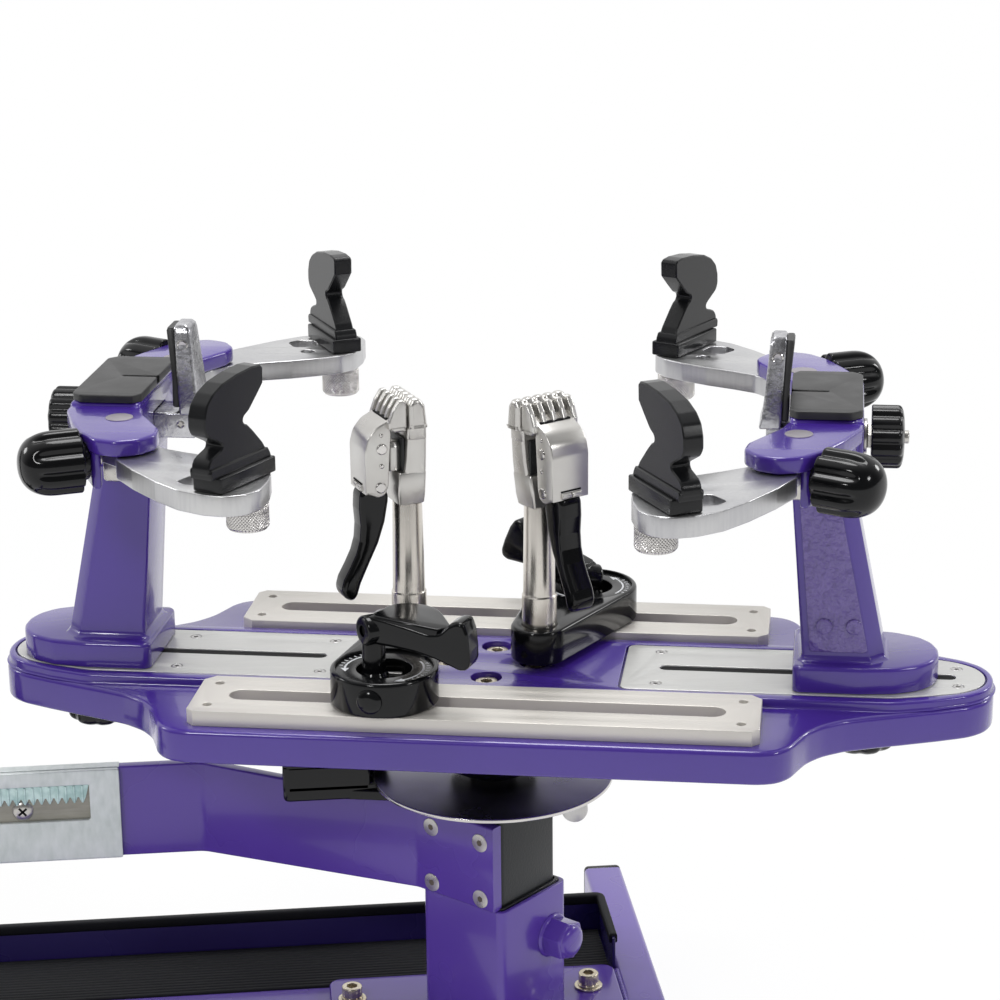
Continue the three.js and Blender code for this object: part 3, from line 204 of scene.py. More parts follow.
def standing(outline, low, high, *more, **named):
    # a plate whose outline lies in the XZ plane, from one Y to another
    points, faces, flat = slab(outline, low, high, *more, **named)
    return points[:, [0, 2, 1]], faces, flat


def lengthwise(outline, low, high, *more, **named):
    # a plate whose outline lies in the YZ plane, from one X to another
    points, faces, flat = slab(outline, low, high, *more, **named)
    return points[:, [2, 0, 1]], faces, flat


def block(lowX, lowY, lowZ, highX, highY, highZ, edge=0.8, corner=None):
    return slab(rectangle(lowX, lowY, highX, highY, edge if corner is None else corner), lowZ, highZ, edge)


def ringStack(rings):
    # rings skinned, with a flat face on both ends
    lids = [(r, *cap([r[:, :2]], 0)[1:]) for r in (rings[0], rings[-1])]
    return join([skin(rings), *lids])


def sections(rows, corner=1.4):
    # a stack of rectangles, each given by its low X, high X, half width and height
    return ringStack([level(rectangle(a, -w, b, w, corner), z) for a, b, w, z in rows])


def spun(r, t, z):
    # a point at angle t goes round the Z axis at radius r(height, angle)
    return skin(np.stack([r * np.cos(t), r * np.sin(t), np.broadcast_to(np.asarray(z)[:, None], r.shape)],
                         -1))


def lathe(profile, count=48):
    # radius and height pairs go round the Z axis; a radius of zero is a pole
    profile = np.asarray(profile, float)
    t = np.linspace(0, 2 * np.pi, count, endpoint=False)
    return spun(np.maximum(profile[:, :1], 1e-4) + 0 * t, t, profile[:, 1])


def soft(profile, radius, count=48):
    # a lathe whose inner corners are rounded
    p = np.asarray(profile, float)
    radii = np.full(len(p), float(radius))
    radii[[0, -1]] = 0
    far = [[-50, p[-1, 1]], [-50, p[0, 1]]]
    return lathe(rounded(np.vstack([p, far]), np.append(radii, [0, 0]), 4)[:-2], count)


def disk(radius, low, high, edge=0.3, count=32, hole=0):
    return soft([[hole, low], [radius, low], [radius, high], [hole, high]], edge, count)


def tube(path, radius, count=8):
    # a circle carried along a line of points in space
    path = np.asarray(path, float)
    d = np.gradient(path, axis=0)
    d /= np.linalg.norm(d, axis=1, keepdims=True)
    side = np.cross(d, [0.0, 0.0, 1.0])
    side /= np.linalg.norm(side, axis=1, keepdims=True)
    up = np.cross(side, d)
    t = np.linspace(0, 2 * np.pi, count, endpoint=False)[None, :, None]
    return skin(path[:, None] + radius * (np.cos(t) * side[:, None] + np.sin(t) * up[:, None]))


# places are four by four matrices in millimetres

def moved(x, y, z):
    m = np.eye(4)
    m[:3, 3] = x, y, z
    return m


def turned(degrees, axis="Z"):
    return np.array(Matrix.Rotation(math.radians(degrees), 4, axis))


def turnedLoop(loop, degrees):
    return loop @ turned(degrees)[:2, :2].T


def laid(degrees, x, y, z):
    # the shell's Z axis points along a compass angle from (x, y, z)
    return moved(x, y, z) @ turned(degrees) @ turned(90, "Y")


def put(shell, place):
    points, faces, flat = shell
    return points @ place[:3, :3].T + place[:3, 3], faces, flat


def putAll(shells, place):
    return [put(s, place) for s in shells]


# materials

def mathNode(tree, operation, a, b):
    node = tree.nodes.new("ShaderNodeMath")
    node.operation = operation
    for i, value in enumerate([a, b]):
        if isinstance(value, bpy.types.NodeSocket):
            tree.links.new(value, node.inputs[i])
        else:
            node.inputs[i].default_value = value
    return node.outputs[0]


def rangeNode(tree, value, given, wanted, kind="SMOOTHSTEP"):
    # a step from one pair of numbers to another
    node = tree.nodes.new("ShaderNodeMapRange")
    node.interpolation_type = kind
    for label, number in zip(("From Min", "From Max", "To Min", "To Max"), (*given, *wanted)):
        node.inputs[label].default_value = number
    tree.links.new(value, node.inputs["Value"])
    return node.outputs[0]


def grainGroup():
    # height: even noise at the grain's scale; variation: slow noise for colour and gloss
    group = bpy.data.node_groups.new("surfaceGrain", "ShaderNodeTree")
    for label, kind, value in (("Scale", "Float", 900.0), ("Slow Scale", "Float", 14.0),
                               ("Stretch", "Vector", (1.0, 1.0, 1.0))):
        group.interface.new_socket(label, in_out="INPUT", socket_type="NodeSocket"
                                   + kind).default_value = value
    for label in ("Height", "Variation"):
        group.interface.new_socket(label, in_out="OUTPUT", socket_type="NodeSocketFloat")
    given, result = group.nodes.new("NodeGroupInput"), group.nodes.new("NodeGroupOutput")
    place = group.nodes.new("ShaderNodeTexCoord").outputs["Object"]
    stretch = group.nodes.new("ShaderNodeVectorMath")
    stretch.operation = "MULTIPLY"
    group.links.new(place, stretch.inputs[0])
    group.links.new(given.outputs["Stretch"], stretch.inputs[1])
    for vector, scale, label in ((stretch.outputs[0], "Scale", "Height"), (place, "Slow Scale", "Variation")):
        noise = group.nodes.new("ShaderNodeTexNoise")
        noise.inputs["Detail"].default_value = 3.0
        group.links.new(vector, noise.inputs["Vector"])
        group.links.new(given.outputs[scale], noise.inputs["Scale"])
        group.links.new(noise.outputs["Fac"], result.inputs[label])
    return group


grain = grainGroup()


def linear(colour):
    # the sRGB curve undone
    return [c / 12.92 if c <= 0.04045 else ((c + 0.055) / 1.055) ** 2.4 for c in colour]


def finish(name, colour, second, metallic, roughness, spread, scale, bump, bumpDistance=0.0002, slow=14.0,
           stretch=(1, 1, 1), coat=0.0, coatRoughness=0.05, specular=0.5, streak=0.0):
    # two near colours mixed by slow noise, gloss that varies with it, and a fine bump
    material = bpy.data.materials.new(name)
    material.use_nodes = True
    tree = material.node_tree
    shader = tree.nodes["Principled BSDF"]
    pattern = tree.nodes.new("ShaderNodeGroup")
    pattern.node_tree = grain
    for label, value in (("Scale", scale), ("Slow Scale", slow), ("Stretch", stretch)):
        pattern.inputs[label].default_value = value
    ramp = tree.nodes.new("ShaderNodeValToRGB")
    for stop, position, tint in zip(ramp.color_ramp.elements, (0.35, 0.65), (second, colour)):
        stop.position, stop.color = position, (*linear(tint), 1)
    mixed = pattern.outputs["Variation"]
    if streak:
        fine = mathNode(tree, "MULTIPLY", pattern.outputs["Height"], streak)
        mixed = mathNode(tree, "ADD", mathNode(tree, "MULTIPLY", mixed, 1 - streak), fine)
    tree.links.new(mixed, ramp.inputs[0])
    tree.links.new(ramp.outputs[0], shader.inputs["Base Color"])
    gloss = rangeNode(tree, mixed, (0.3, 0.7), (roughness - spread / 2, roughness + spread / 2), "LINEAR")
    tree.links.new(gloss, shader.inputs["Roughness"])
    relief = tree.nodes.new("ShaderNodeBump")
    relief.inputs["Strength"].default_value = bump
    relief.inputs["Distance"].default_value = bumpDistance
    tree.links.new(pattern.outputs["Height"], relief.inputs["Height"])
    tree.links.new(relief.outputs[0], shader.inputs["Normal"])
    for label, value in (("Metallic", metallic), ("Coat Weight", coat), ("Coat Roughness", coatRoughness),
                         ("Specular IOR Level", specular)):
        shader.inputs[label].default_value = value
    return material


# name: slot, two colours, metallic, roughness, its spread, grain scale, bump, and what else differs
finishes = {
    "purplePaint": ("paint", (0.345, 0.235, 0.63), (0.33, 0.225, 0.605), 0, 0.27, 0.05, 420, 0.06,
                    dict(coat=0.3, coatRoughness=0.07)),
    # the tray's darker purple is painted shade for the shadow the pan lies in
    "paintedShadePurple": ("paint", (0.15, 0.115, 0.34), (0.135, 0.1, 0.31), 0, 0.26, 0.05, 420, 0.06,
                          dict(coat=0.1, coatRoughness=0.06)),
    "castPurplePaint": ("paint", (0.265, 0.165, 0.56), (0.25, 0.155, 0.535), 0, 0.24, 0.06, 260, 0.3,
                        dict(bumpDistance=0.0003, coat=0.5)),
    "peelPurplePaint": ("paint", (0.40, 0.32, 0.62), (0.35, 0.27, 0.57), 0, 0.2, 0.05, 210, 0.8,
                        dict(bumpDistance=0.0035, coat=1.0, coatRoughness=0.04, slow=60)),
    "glossyBlackPlastic": ("black_plastic", (0.045, 0.048, 0.055), (0.036, 0.038, 0.044), 0, 0.13, 0.04, 500,
                           0.04, dict(specular=0.32)),
    "satinBlackPlastic": ("black_plastic", (0.08, 0.083, 0.09), (0.066, 0.068, 0.075), 0, 0.25, 0.06, 900,
                          0.14, dict(specular=0.34)),
    "mouldedBlackPlastic": ("black_plastic", (0.07, 0.072, 0.077), (0.055, 0.057, 0.062), 0, 0.2, 0.06, 700,
                            0.08, dict(specular=0.36)),
    "powderBlackPaint": ("black_paint", (0.16, 0.17, 0.175), (0.135, 0.145, 0.15), 0, 0.42, 0.1, 900, 0.5,
                         dict(bumpDistance=0.00025, specular=0.4)),
    "blackRubber": ("rubber", (0.07, 0.075, 0.09), (0.055, 0.06, 0.072), 0, 0.6, 0.15, 1300, 0.3,
                    dict(specular=0.25)),
    "greyPadRubber": ("rubber", (0.2, 0.2, 0.2), (0.15, 0.15, 0.152), 0, 0.46, 0.16, 1100, 0.25,
                      dict(slow=70, specular=0.45)),
    "anodisedAluminium": ("aluminium", (0.84, 0.825, 0.80), (0.81, 0.795, 0.77), 0.45, 0.4, 0.06, 2200, 0.12,
                          dict(bumpDistance=0.0001)),
    "plateAluminium": ("aluminium", (0.80, 0.80, 0.79), (0.76, 0.76, 0.75), 0.55, 0.38, 0.06, 900, 0.12,
                       dict(stretch=(0.06, 1, 1), bumpDistance=0.0001, streak=0.35)),
    "satinCastAluminium": ("aluminium", (0.80, 0.80, 0.80), (0.72, 0.72, 0.73), 0.95, 0.3, 0.06, 700, 0.14,
                           dict(slow=30, stretch=(1, 1, 0.12), bumpDistance=0.0001, streak=0.3)),
    "hammeredZinc": ("zinc", (0.80, 0.80, 0.81), (0.62, 0.62, 0.64), 0.95, 0.26, 0.12, 330, 0.75,
                     dict(slow=55, bumpDistance=0.0004, streak=0.35)),
    "nickelPlate": ("steel", (0.82, 0.815, 0.80), (0.76, 0.75, 0.735), 0.9, 0.3, 0.06, 1400, 0.12,
                    dict(slow=40, bumpDistance=0.0001)),
    "brightSteel": ("steel", (0.84, 0.83, 0.82), (0.78, 0.77, 0.76), 1.0, 0.2, 0.06, 900, 0.05,
                    dict(slow=40)),
    "turnedDiscSteel": ("steel", (0.66, 0.66, 0.68), (0.6, 0.6, 0.62), 1.0, 0.3, 0.08, 900, 0.08,
                        dict(slow=40)),
    "satinSteel": ("steel", (0.78, 0.775, 0.77), (0.72, 0.715, 0.71), 0.95, 0.32, 0.08, 1500, 0.12,
                   dict(slow=40, stretch=(1, 1, 0.05), streak=0.3)),
    "turnedSteelPost": ("steel", (0.88, 0.86, 0.83), (0.82, 0.80, 0.77), 1.0, 0.27, 0.05, 1400, 0.1,
                        dict(slow=30, stretch=(1, 1, 0.03), streak=0.3)),
    "zincPlate": ("zinc", (0.87, 0.89, 0.89), (0.76, 0.79, 0.785), 0.4, 0.36, 0.16, 300, 0.25,
                  dict(slow=60, stretch=(1, 1, 0.4), streak=0.45)),
    # a darker copy of the zinc plate: painted shade for the recess behind the rack's slot
    "paintedShadeZinc": ("zinc", (0.62, 0.61, 0.57), (0.52, 0.515, 0.48), 0.6, 0.42, 0.1, 700, 0.1,
                   dict(slow=60, stretch=(0.1, 1, 1), streak=0.4)),
    "zincTeeth": ("zinc", (0.82, 0.91, 0.90), (0.66, 0.78, 0.77), 0.35, 0.35, 0.1, 700, 0.1, dict(slow=200)),
    "zincBolt": ("zinc", (0.82, 0.81, 0.79), (0.72, 0.71, 0.69), 0.9, 0.3, 0.1, 900, 0.08, dict(slow=120)),
    "goldZincBolt": ("zinc", (0.84, 0.81, 0.74), (0.74, 0.70, 0.62), 0.9, 0.26, 0.1, 900, 0.08,
                     dict(slow=120)),
    # near black for painted shade: sheets and blocks put into slits, sockets, slots and holes
    "paintedShadeFill": ("steel", (0.045, 0.045, 0.05), (0.045, 0.045, 0.05), 0, 0.7, 0.08, 900, 0.1,
                     dict(specular=0.2)),
    # darker brownish zinc: painted shade of a hex socket
    "paintedSocketShade": ("zinc", (0.42, 0.38, 0.33), (0.34, 0.31, 0.28), 0.4, 0.5, 0.08, 900, 0.1, {}),
    # a paler, nearly diffuse copy of the rail aluminium: painted light on slot walls that lie in shade
    "paintedLightSlotWall": ("aluminium", (0.86, 0.84, 0.81), (0.82, 0.80, 0.77), 0.1, 0.5, 0.08, 1400, 0.1, {}),
    "whitePrint": ("black_plastic", (0.84, 0.85, 0.86), (0.78, 0.78, 0.8), 0, 0.5, 0.08, 1500, 0.05, {}),
    "greyPinFace": ("zinc", (0.6, 0.58, 0.6), (0.52, 0.5, 0.53), 0.5, 0.42, 0.08, 900, 0.1, {}),
}
looks = {name: finish(name, *row[1:-1], **row[-1]) for name, row in finishes.items()}


# points closer than the weld become one, slivers go, and an edge is sharp past the angle
meshing = {"weld": 2e-6, "sliver": 1e-6, "sharp": 38}


def makePiece(name, shells, body, look, node=None, at=None):
    points, faces, flat = join(shells if at is None else putAll(shells, at))
    mesh = bpy.data.meshes.new(name)
    mesh.from_pydata((points * metresPerMm).tolist(), [], faces)
    mesh.polygons.foreach_set("use_smooth", [not f for f in flat])
    work = bmesh.new()
    work.from_mesh(mesh)
    bmesh.ops.remove_doubles(work, verts=work.verts, dist=meshing["weld"])
    bmesh.ops.dissolve_degenerate(work, edges=work.edges, dist=meshing["sliver"])
    bmesh.ops.recalc_face_normals(work, faces=work.faces)
    work.to_mesh(mesh)
    work.free()
    mesh.set_sharp_from_angle(angle=math.radians(meshing["sharp"]))
    piece = bpy.data.objects.new(name, mesh)
    bpy.context.scene.collection.objects.link(piece)
    mesh.materials.append(looks[look])
    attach(piece, body)
    if node:
        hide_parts(node)


def socketScrew(radius, height, across, depth, edge=0.6, turn=10):
    # a round head with a six-sided hollow, its seat at zero
    head = slab(circle(0, 0, radius, 32), 0, height, edge, [hexagon(across, turn)], 0.1, 0.15)
    return [head, cap([hexagon(across, turn)], height - depth)]


def flutedKnob(radius, length, flutes, depth, dome, foot=1.0, power=1.0, reach=1.0, bulge=2.4):
    # radius(angle, height) = line(height) - depth * radius * groove(angle) * window(height)
    # the nose is a superellipse, each flute has 14 points, and the window fades over 0.16 of the length
    t = np.linspace(0, 2 * np.pi, flutes * 14, endpoint=False)
    up = np.linspace(0, 1, 9) * np.pi / 2
    rise = np.sin(np.linspace(0, 1, 22) * np.pi / 2)
    nose = dome * length
    line = np.vstack([[[0, 0]], np.column_stack([radius - foot * (1 - np.sin(up)), foot * (1 - np.cos(up))]),
                      np.column_stack([np.full(10, radius), np.linspace(foot, length - nose, 12)[1:-1]]),
                      np.column_stack([radius * (1 - rise ** bulge) ** (1 / bulge),
                                       length - nose + nose * rise])])
    groove = (0.5 + 0.5 * np.cos(flutes * t)) ** power
    window = np.sqrt(np.clip((reach - line[:, 1] / length) / 0.16, 0, 1)) * (line[:, 0] > 0.3 * radius)
    return spun(np.maximum(line[:, :1] - depth * radius * groove * window[:, None], 1e-4), t, line[:, 1])


def barrelGrip(radius, low, length, waist, swell, square, count):
    # radius(z) = radius * (waist + (1 - waist) * sin(pi z) ^ swell) * (1 - (2 z - 1) ^ square) ^ 0.5
    z = np.linspace(0, 1, count)
    r = radius * (waist + (1 - waist) * np.sin(np.pi * z) ** swell)
    return lathe(np.column_stack([r * np.sqrt(np.clip(1 - ((z - 0.5) * 2) ** square, 0, 1)),
                                  low + z * length]), 40)


# places of the groups that move
spin = {"turn": -13, "railTop": 230, "leftTower": -159, "rightTower": 142}
tablePlace = moved(0, 0, spin["railTop"]) @ turned(spin["turn"])
towerPlace = {"left": tablePlace @ moved(spin["leftTower"], 0, 0) @ turned(180),
              "right": tablePlace @ moved(spin["rightTower"], 0, 0)}
ends = ("left", "right")


def signOf(end, side):
    return (1 if side == "front" else -1) * (1 if end == "left" else -1)


base = {"feet": (-286, 66), "footWidth": 20, "height": 40, "reach": 166, "beamHalf": 45, "wall": 2.5,
        "capRibs": (2.7, 12, 22, 35)}


def buildBase():
    d = base
    width, tall, reach, thick = d["footWidth"], d["height"], d["reach"], d["wall"]
    left, right = d["feet"]
    feet = (("left", left - width), ("right", right))
    tubes = [standing(rectangle(x, 0, x + width, tall, 2.2), -reach, reach, 0.2,
                      [rectangle(x + thick, thick, x + width - thick, tall - thick, 1)]) for _, x in feet]
    beam = lengthwise(rectangle(-d["beamHalf"], 0, d["beamHalf"], tall, 3), left, right, 0.1)
    makePiece("baseTubes", [*tubes, beam], "base", "purplePaint", "base_frame")
    y = np.linspace(-d["beamHalf"], d["beamHalf"], 140)
    beads = [tube(np.column_stack([x + 0 * y, y, tall - 0.4 + 0.25 * np.sin(y * 2.1)]), 1.4)
             for x in d["feet"]]
    makePiece("weldBeads", beads, "base", "purplePaint")
    for side, sign in (("front", -1), ("rear", 1)):
        for end, x in feet:
            outer, inner = (sorted((sign * (reach - a), sign * (reach + b))) for a, b in ((0, 4), (12, 0.5)))
            face = standing(rectangle(x, 0, x + width, tall, 2.4), *outer, 1.2)
            ribs = [standing(rectangle(x + 2.7, z, x + 17.3, z + 2.2, 0.6), *inner, 0.3)
                    for z in d["capRibs"]]
            makePiece(f"footCap_{side}_{end}", [face, *ribs], "base", "mouldedBlackPlastic",
                      f"foot_cap_{side}_{end}")


tray = {"x": (-285.7, 65.7), "y": (45.1, 97), "floor": 35, "rim": 57, "wall": 1.5, "lap": 12, "ribs": 16}


def buildTray():
    d = tray
    (left, right), (front, back) = d["x"], d["y"]
    floor, thick, rim, lap = (d[k] for k in ("floor", "wall", "rim", "lap"))
    fold = [(front, lap), (front, floor + thick), (back - thick, floor + thick), (back - thick, rim),
            (back, rim), (back, floor), (front + thick, floor), (front + thick, lap)]
    folded = lengthwise(rounded(fold, [0.3, 0.8, 1.6, 0.3, 0.3, 3, 2, 0.3]), left, right, 0.1)
    lids = [block(x, front + 0.2, floor + 0.3, x + thick, back - 0.3, rim, 0.4)
            for x in (left, right - thick)]
    # the pan's darker purple is painted shade
    makePiece("trayPan", [folded, *lids], "base", "paintedShadePurple", "tool_tray")
    low, high = front + 2.5, back - 2.5
    y = np.linspace(low, high, d["ribs"] * 8 + 1)
    z = floor + 3.1 + 0.9 * np.abs(np.sin(np.pi * (y - low) / ((high - low) / d["ribs"]))) ** 0.6
    section = np.vstack([np.column_stack([y, z]), [[high, floor + 1.6], [low, floor + 1.6]]])
    makePiece("trayMat", [lengthwise(section, left + 2.5, right - 2.5, 0)], "base", "blackRubber", "tray_mat")
    path = [(left + 0.75, front + 3), (left + 0.75, back - 0.75), (right - 0.75, back - 0.75),
            (right - 0.75, front + 3)]
    makePiece("trayRim", [slab(bar(rounded(path, [0, 3, 3, 0]), 2.1), rim - 4.2, rim + 1.6, 1.5)], "base",
              "blackRubber")


# liner: outer and inner side, its depth in the tube and its rim above it; plug: side and lowest height
column = {"outer": 50, "outerBore": 45.6, "liner": (45.5, 42.5, 32, 1.2), "inner": 42, "innerBore": 36,
          "innerLow": 54, "plug": (37, 130), "turn": 45, "flangeTop": 44, "outerTop": 113, "innerTop": 158.5,
          "flange": (-80, 64, 44), "boltX": (-69.4, 48.5), "boltY": 20.5, "boss": (13, 88)}


def squareTube(side, corner):
    return turnedLoop(rectangle(-side / 2, -side / 2, side / 2, side / 2, corner), column["turn"])


def buildColumn():
    d = column
    low, high, half = d["flange"]
    plate = slab(rectangle(low, -half, high, half, 6), base["height"], d["flangeTop"], 0.9)
    outer = slab(squareTube(d["outer"], 4), 40.5, d["outerTop"], 0.5, [squareTube(d["outerBore"], 2.5)])
    makePiece("columnOuter", [plate, outer], "base", "purplePaint", "outer_column")
    wide, slim, depth, rim = d["liner"]
    liner = slab(squareTube(wide, 2.5), d["outerTop"] - depth, d["outerTop"] + rim, 0.4,
                 [squareTube(slim, 2)])
    makePiece("columnLiner", [liner], "base", "mouldedBlackPlastic")
    # the weld goes once round the square, 40 points to a side
    t = np.linspace(0, 1, 161)[:-1] * 4
    k = t.astype(int)
    corner = squareTube(d["outer"], 0.01)[::5]
    foot = corner[k % 4] * (1 - (t - k))[:, None] + corner[(k + 1) % 4] * (t - k)[:, None]
    foot = np.vstack([foot, foot[:1]])
    weld = np.column_stack([foot, 44.2 + 0.2 * np.sin(np.arange(len(foot)) * 1.1)])
    makePiece("columnWeld", [tube(weld, 1.7)], "base", "purplePaint")
    along, tall = d["boss"]
    place = turned(d["turn"] - 90) @ moved(d["outer"] / 2 - 0.5, along, tall) @ turned(90, "Y")
    bead = soft([[8, 0], [11.6, 0.4], [10, 2.2], [8, 2.2]], 0.8)
    nut = slab(hexagon(17.6, 12), 0.2, 12.6, 1.6, foot=0.2)
    dome = lathe([[8.2, 12.2], [7.8, 13.2], [6.2, 14.2], [3.6, 14.8], [0, 15]], 40)
    makePiece("lockBoss", [bead, nut, dome], "base", "purplePaint", at=place)
    for n, (x, y) in enumerate([(x, y) for x in d["boltX"] for y in (-d["boltY"], d["boltY"])]):
        ring = soft([[3, 1.2], [5.6, 1.2], [5.2, 2.2], [3, 2.2]], 0.3, 40)
        head = putAll(socketScrew(5, 5.6, 5, 3, turn=20 * n), moved(0, 0, 2.1))
        makePiece(f"flangeBolt_{n + 1}", [disk(7, 0, 1.2, 0.3, 40, 3.4), ring, *head], "base", "goldZincBolt",
                  at=moved(x, y, d["flangeTop"] + 0.1))
    shaft = slab(squareTube(d["inner"], 3), d["innerLow"], d["innerTop"], 0.5,
                 [squareTube(d["innerBore"], 2)])
    side, plugLow = d["plug"]
    top = slab(squareTube(side, 2), plugLow, d["innerTop"] - 0.2, 0.2)
    makePiece("columnInner", [shaft, top], "lift", "powderBlackPaint", "inner_column")


arm = {"thickness": 6, "second": (-139, 62.4), "end": (-446, 62.4), "start": -21.5, "firstBend": 26,
       "edge": 0.9, "nearZ": (113.4, 156.5), "farZ": (110.6, 158.3), "screwAlong": (-13.5, 16.5),
       "screwZ": (118.6, 147.4)}


def onFace(out, along):
    # a point on the column's rear left face, by its distance from the axis and along the face
    r = math.sqrt(0.5)
    return np.array([-out * r - along * r, -out * r + along * r])


def buildArm():
    d = arm
    face, edge = column["inner"] / 2 + 0.1, d["edge"]
    middle = face + d["thickness"] / 2
    start, first = onFace(middle, d["start"]), onFace(middle, d["firstBend"])
    route = rounded([start, first, d["second"], d["end"]], [0, 14, 14, 0], 9)
    share = np.clip((first[0] - route[:, 0]) / (first[0] - d["second"][0]), 0, 1)
    low, high = (a + share * (b - a) for a, b in zip(d["nearZ"], d["farZ"]))
    t = np.gradient(route, axis=0)
    t /= np.linalg.norm(t, axis=1, keepdims=True)
    n = np.column_stack([-t[:, 1], t[:, 0]])
    # the section has four corner arcs of four points each
    w = np.radians(np.add.outer([0, 90, 180, 270], np.linspace(0, 90, 4)).ravel())
    outward, upper = np.repeat([1, -1, -1, 1], 4), np.repeat([True, True, False, False], 4)
    across = (outward * (d["thickness"] / 2 - edge) + np.cos(w) * edge)[:, None]
    rings = [np.column_stack([p + q * across, np.where(upper, b - edge, a + edge) + np.sin(w) * edge])
             for p, q, a, b in zip(route, n, low, high)]
    lids = [(r, [tuple(range(len(r)))], [True]) for r in (rings[0], rings[-1])]
    makePiece("tensionArm", [skin(rings), *lids], "lift", "purplePaint", "tension_arm")
    for k, (s, z) in enumerate([(s, z) for s in d["screwAlong"] for z in d["screwZ"]]):
        place = laid(180 + column["turn"], *onFace(face + d["thickness"] - 0.6, s), z)
        makePiece(f"armScrew_{k + 1}", [disk(4.5, 0.3, 0.9, 0.25, 40)], "lift", "zincBolt", at=place)
        # a flat hex of painted shade on each screw head stands for its socket
        makePiece(f"armSocket_{k + 1}", [cap([hexagon(2.8, 25 * k)], 0.93)], "lift", "paintedSocketShade", at=place)


rack = {"left": -436, "right": -179.6, "z": (111, 158.3), "back": 59.3, "front": 56.3, "pitch": 4,
        "tooth": 9.6, "slot": (-428, -194.5, 132, 150.8), "screwX": (-227.5, -395), "screwZ": 137.8}


def buildRack():
    d = rack
    left, right, low, high = d["slot"]
    front, tooth = d["front"], high - d["tooth"]
    plate = standing(rectangle(d["left"], d["z"][0], d["right"], d["z"][1], 1.2), front, d["back"], 0.35,
                     [rectangle(left, low, right, high, [1.5, 1.5, 0.5, 0.5])])
    makePiece("rackPlate", [plate], "lift", "zincPlate", "rack_plate")
    # the backing seen through the slot is darker zinc: painted shade of the recess
    backing = standing(rectangle(left - 2, low - 2, right + 2, high + 2), front + 2, front + 2.4, 0)
    makePiece("rackRecess", [backing], "lift", "paintedShadeZinc")
    spots = left + (np.arange(int((right - left) / d["pitch"])) + 0.5) * d["pitch"]
    row = [(right, high + 0.3), (left, high + 0.3)]
    for c in spots:
        row += [(c - 1.7, tooth + 3), (c - 0.35, tooth), (c + 0.35, tooth), (c + 1.7, tooth + 3)]
    ribs = [standing(rectangle(c - 0.55, high - 9, c + 0.55, high - 0.4), front + 0.1, front + 1, 0.25)
            for c in spots]
    makePiece("rackTeeth", [standing(row, front + 0.7, front + 2, 0.12), *ribs], "lift", "zincTeeth")
    y = arm["second"][1]
    top = block(arm["end"][0] + 0.6, y - 3.1, 158.1, d["right"], y + 3.1, 158.6, 0.2)
    makePiece("armTopSkin", [top], "lift", "zincPlate")
    for n, x in enumerate(d["screwX"]):
        place = moved(x, front + 1.9, d["screwZ"]) @ turned(90, "X")
        # the cross recess is a near-black cross of painted shade on the head
        cross = [put(block(-2.6, -0.55, 1.2, 2.6, 0.55, 1.75, 0.1), turned(a + 20 * n)) for a in (40, 130)]
        disc = lathe([[0, 1.6], [2.2, 1.6], [4.2, 1.1], [5.1, 0.2], [5.1, 0]], 36)
        makePiece(f"rackScrew_{n + 1}", [disc], "lift", "zincBolt", at=place)
        makePiece(f"rackScrewCross_{n + 1}", cross, "lift", "paintedShadeFill", at=place)


head = {"x": -345, "half": 40, "y": (38, 84), "low": 99, "high": 176, "post": (13, 50, 74), "postTop": 352,
        "slant": 205, "blockTop": 378, "blockFront": 63, "crankZ": 128, "crank": 55}


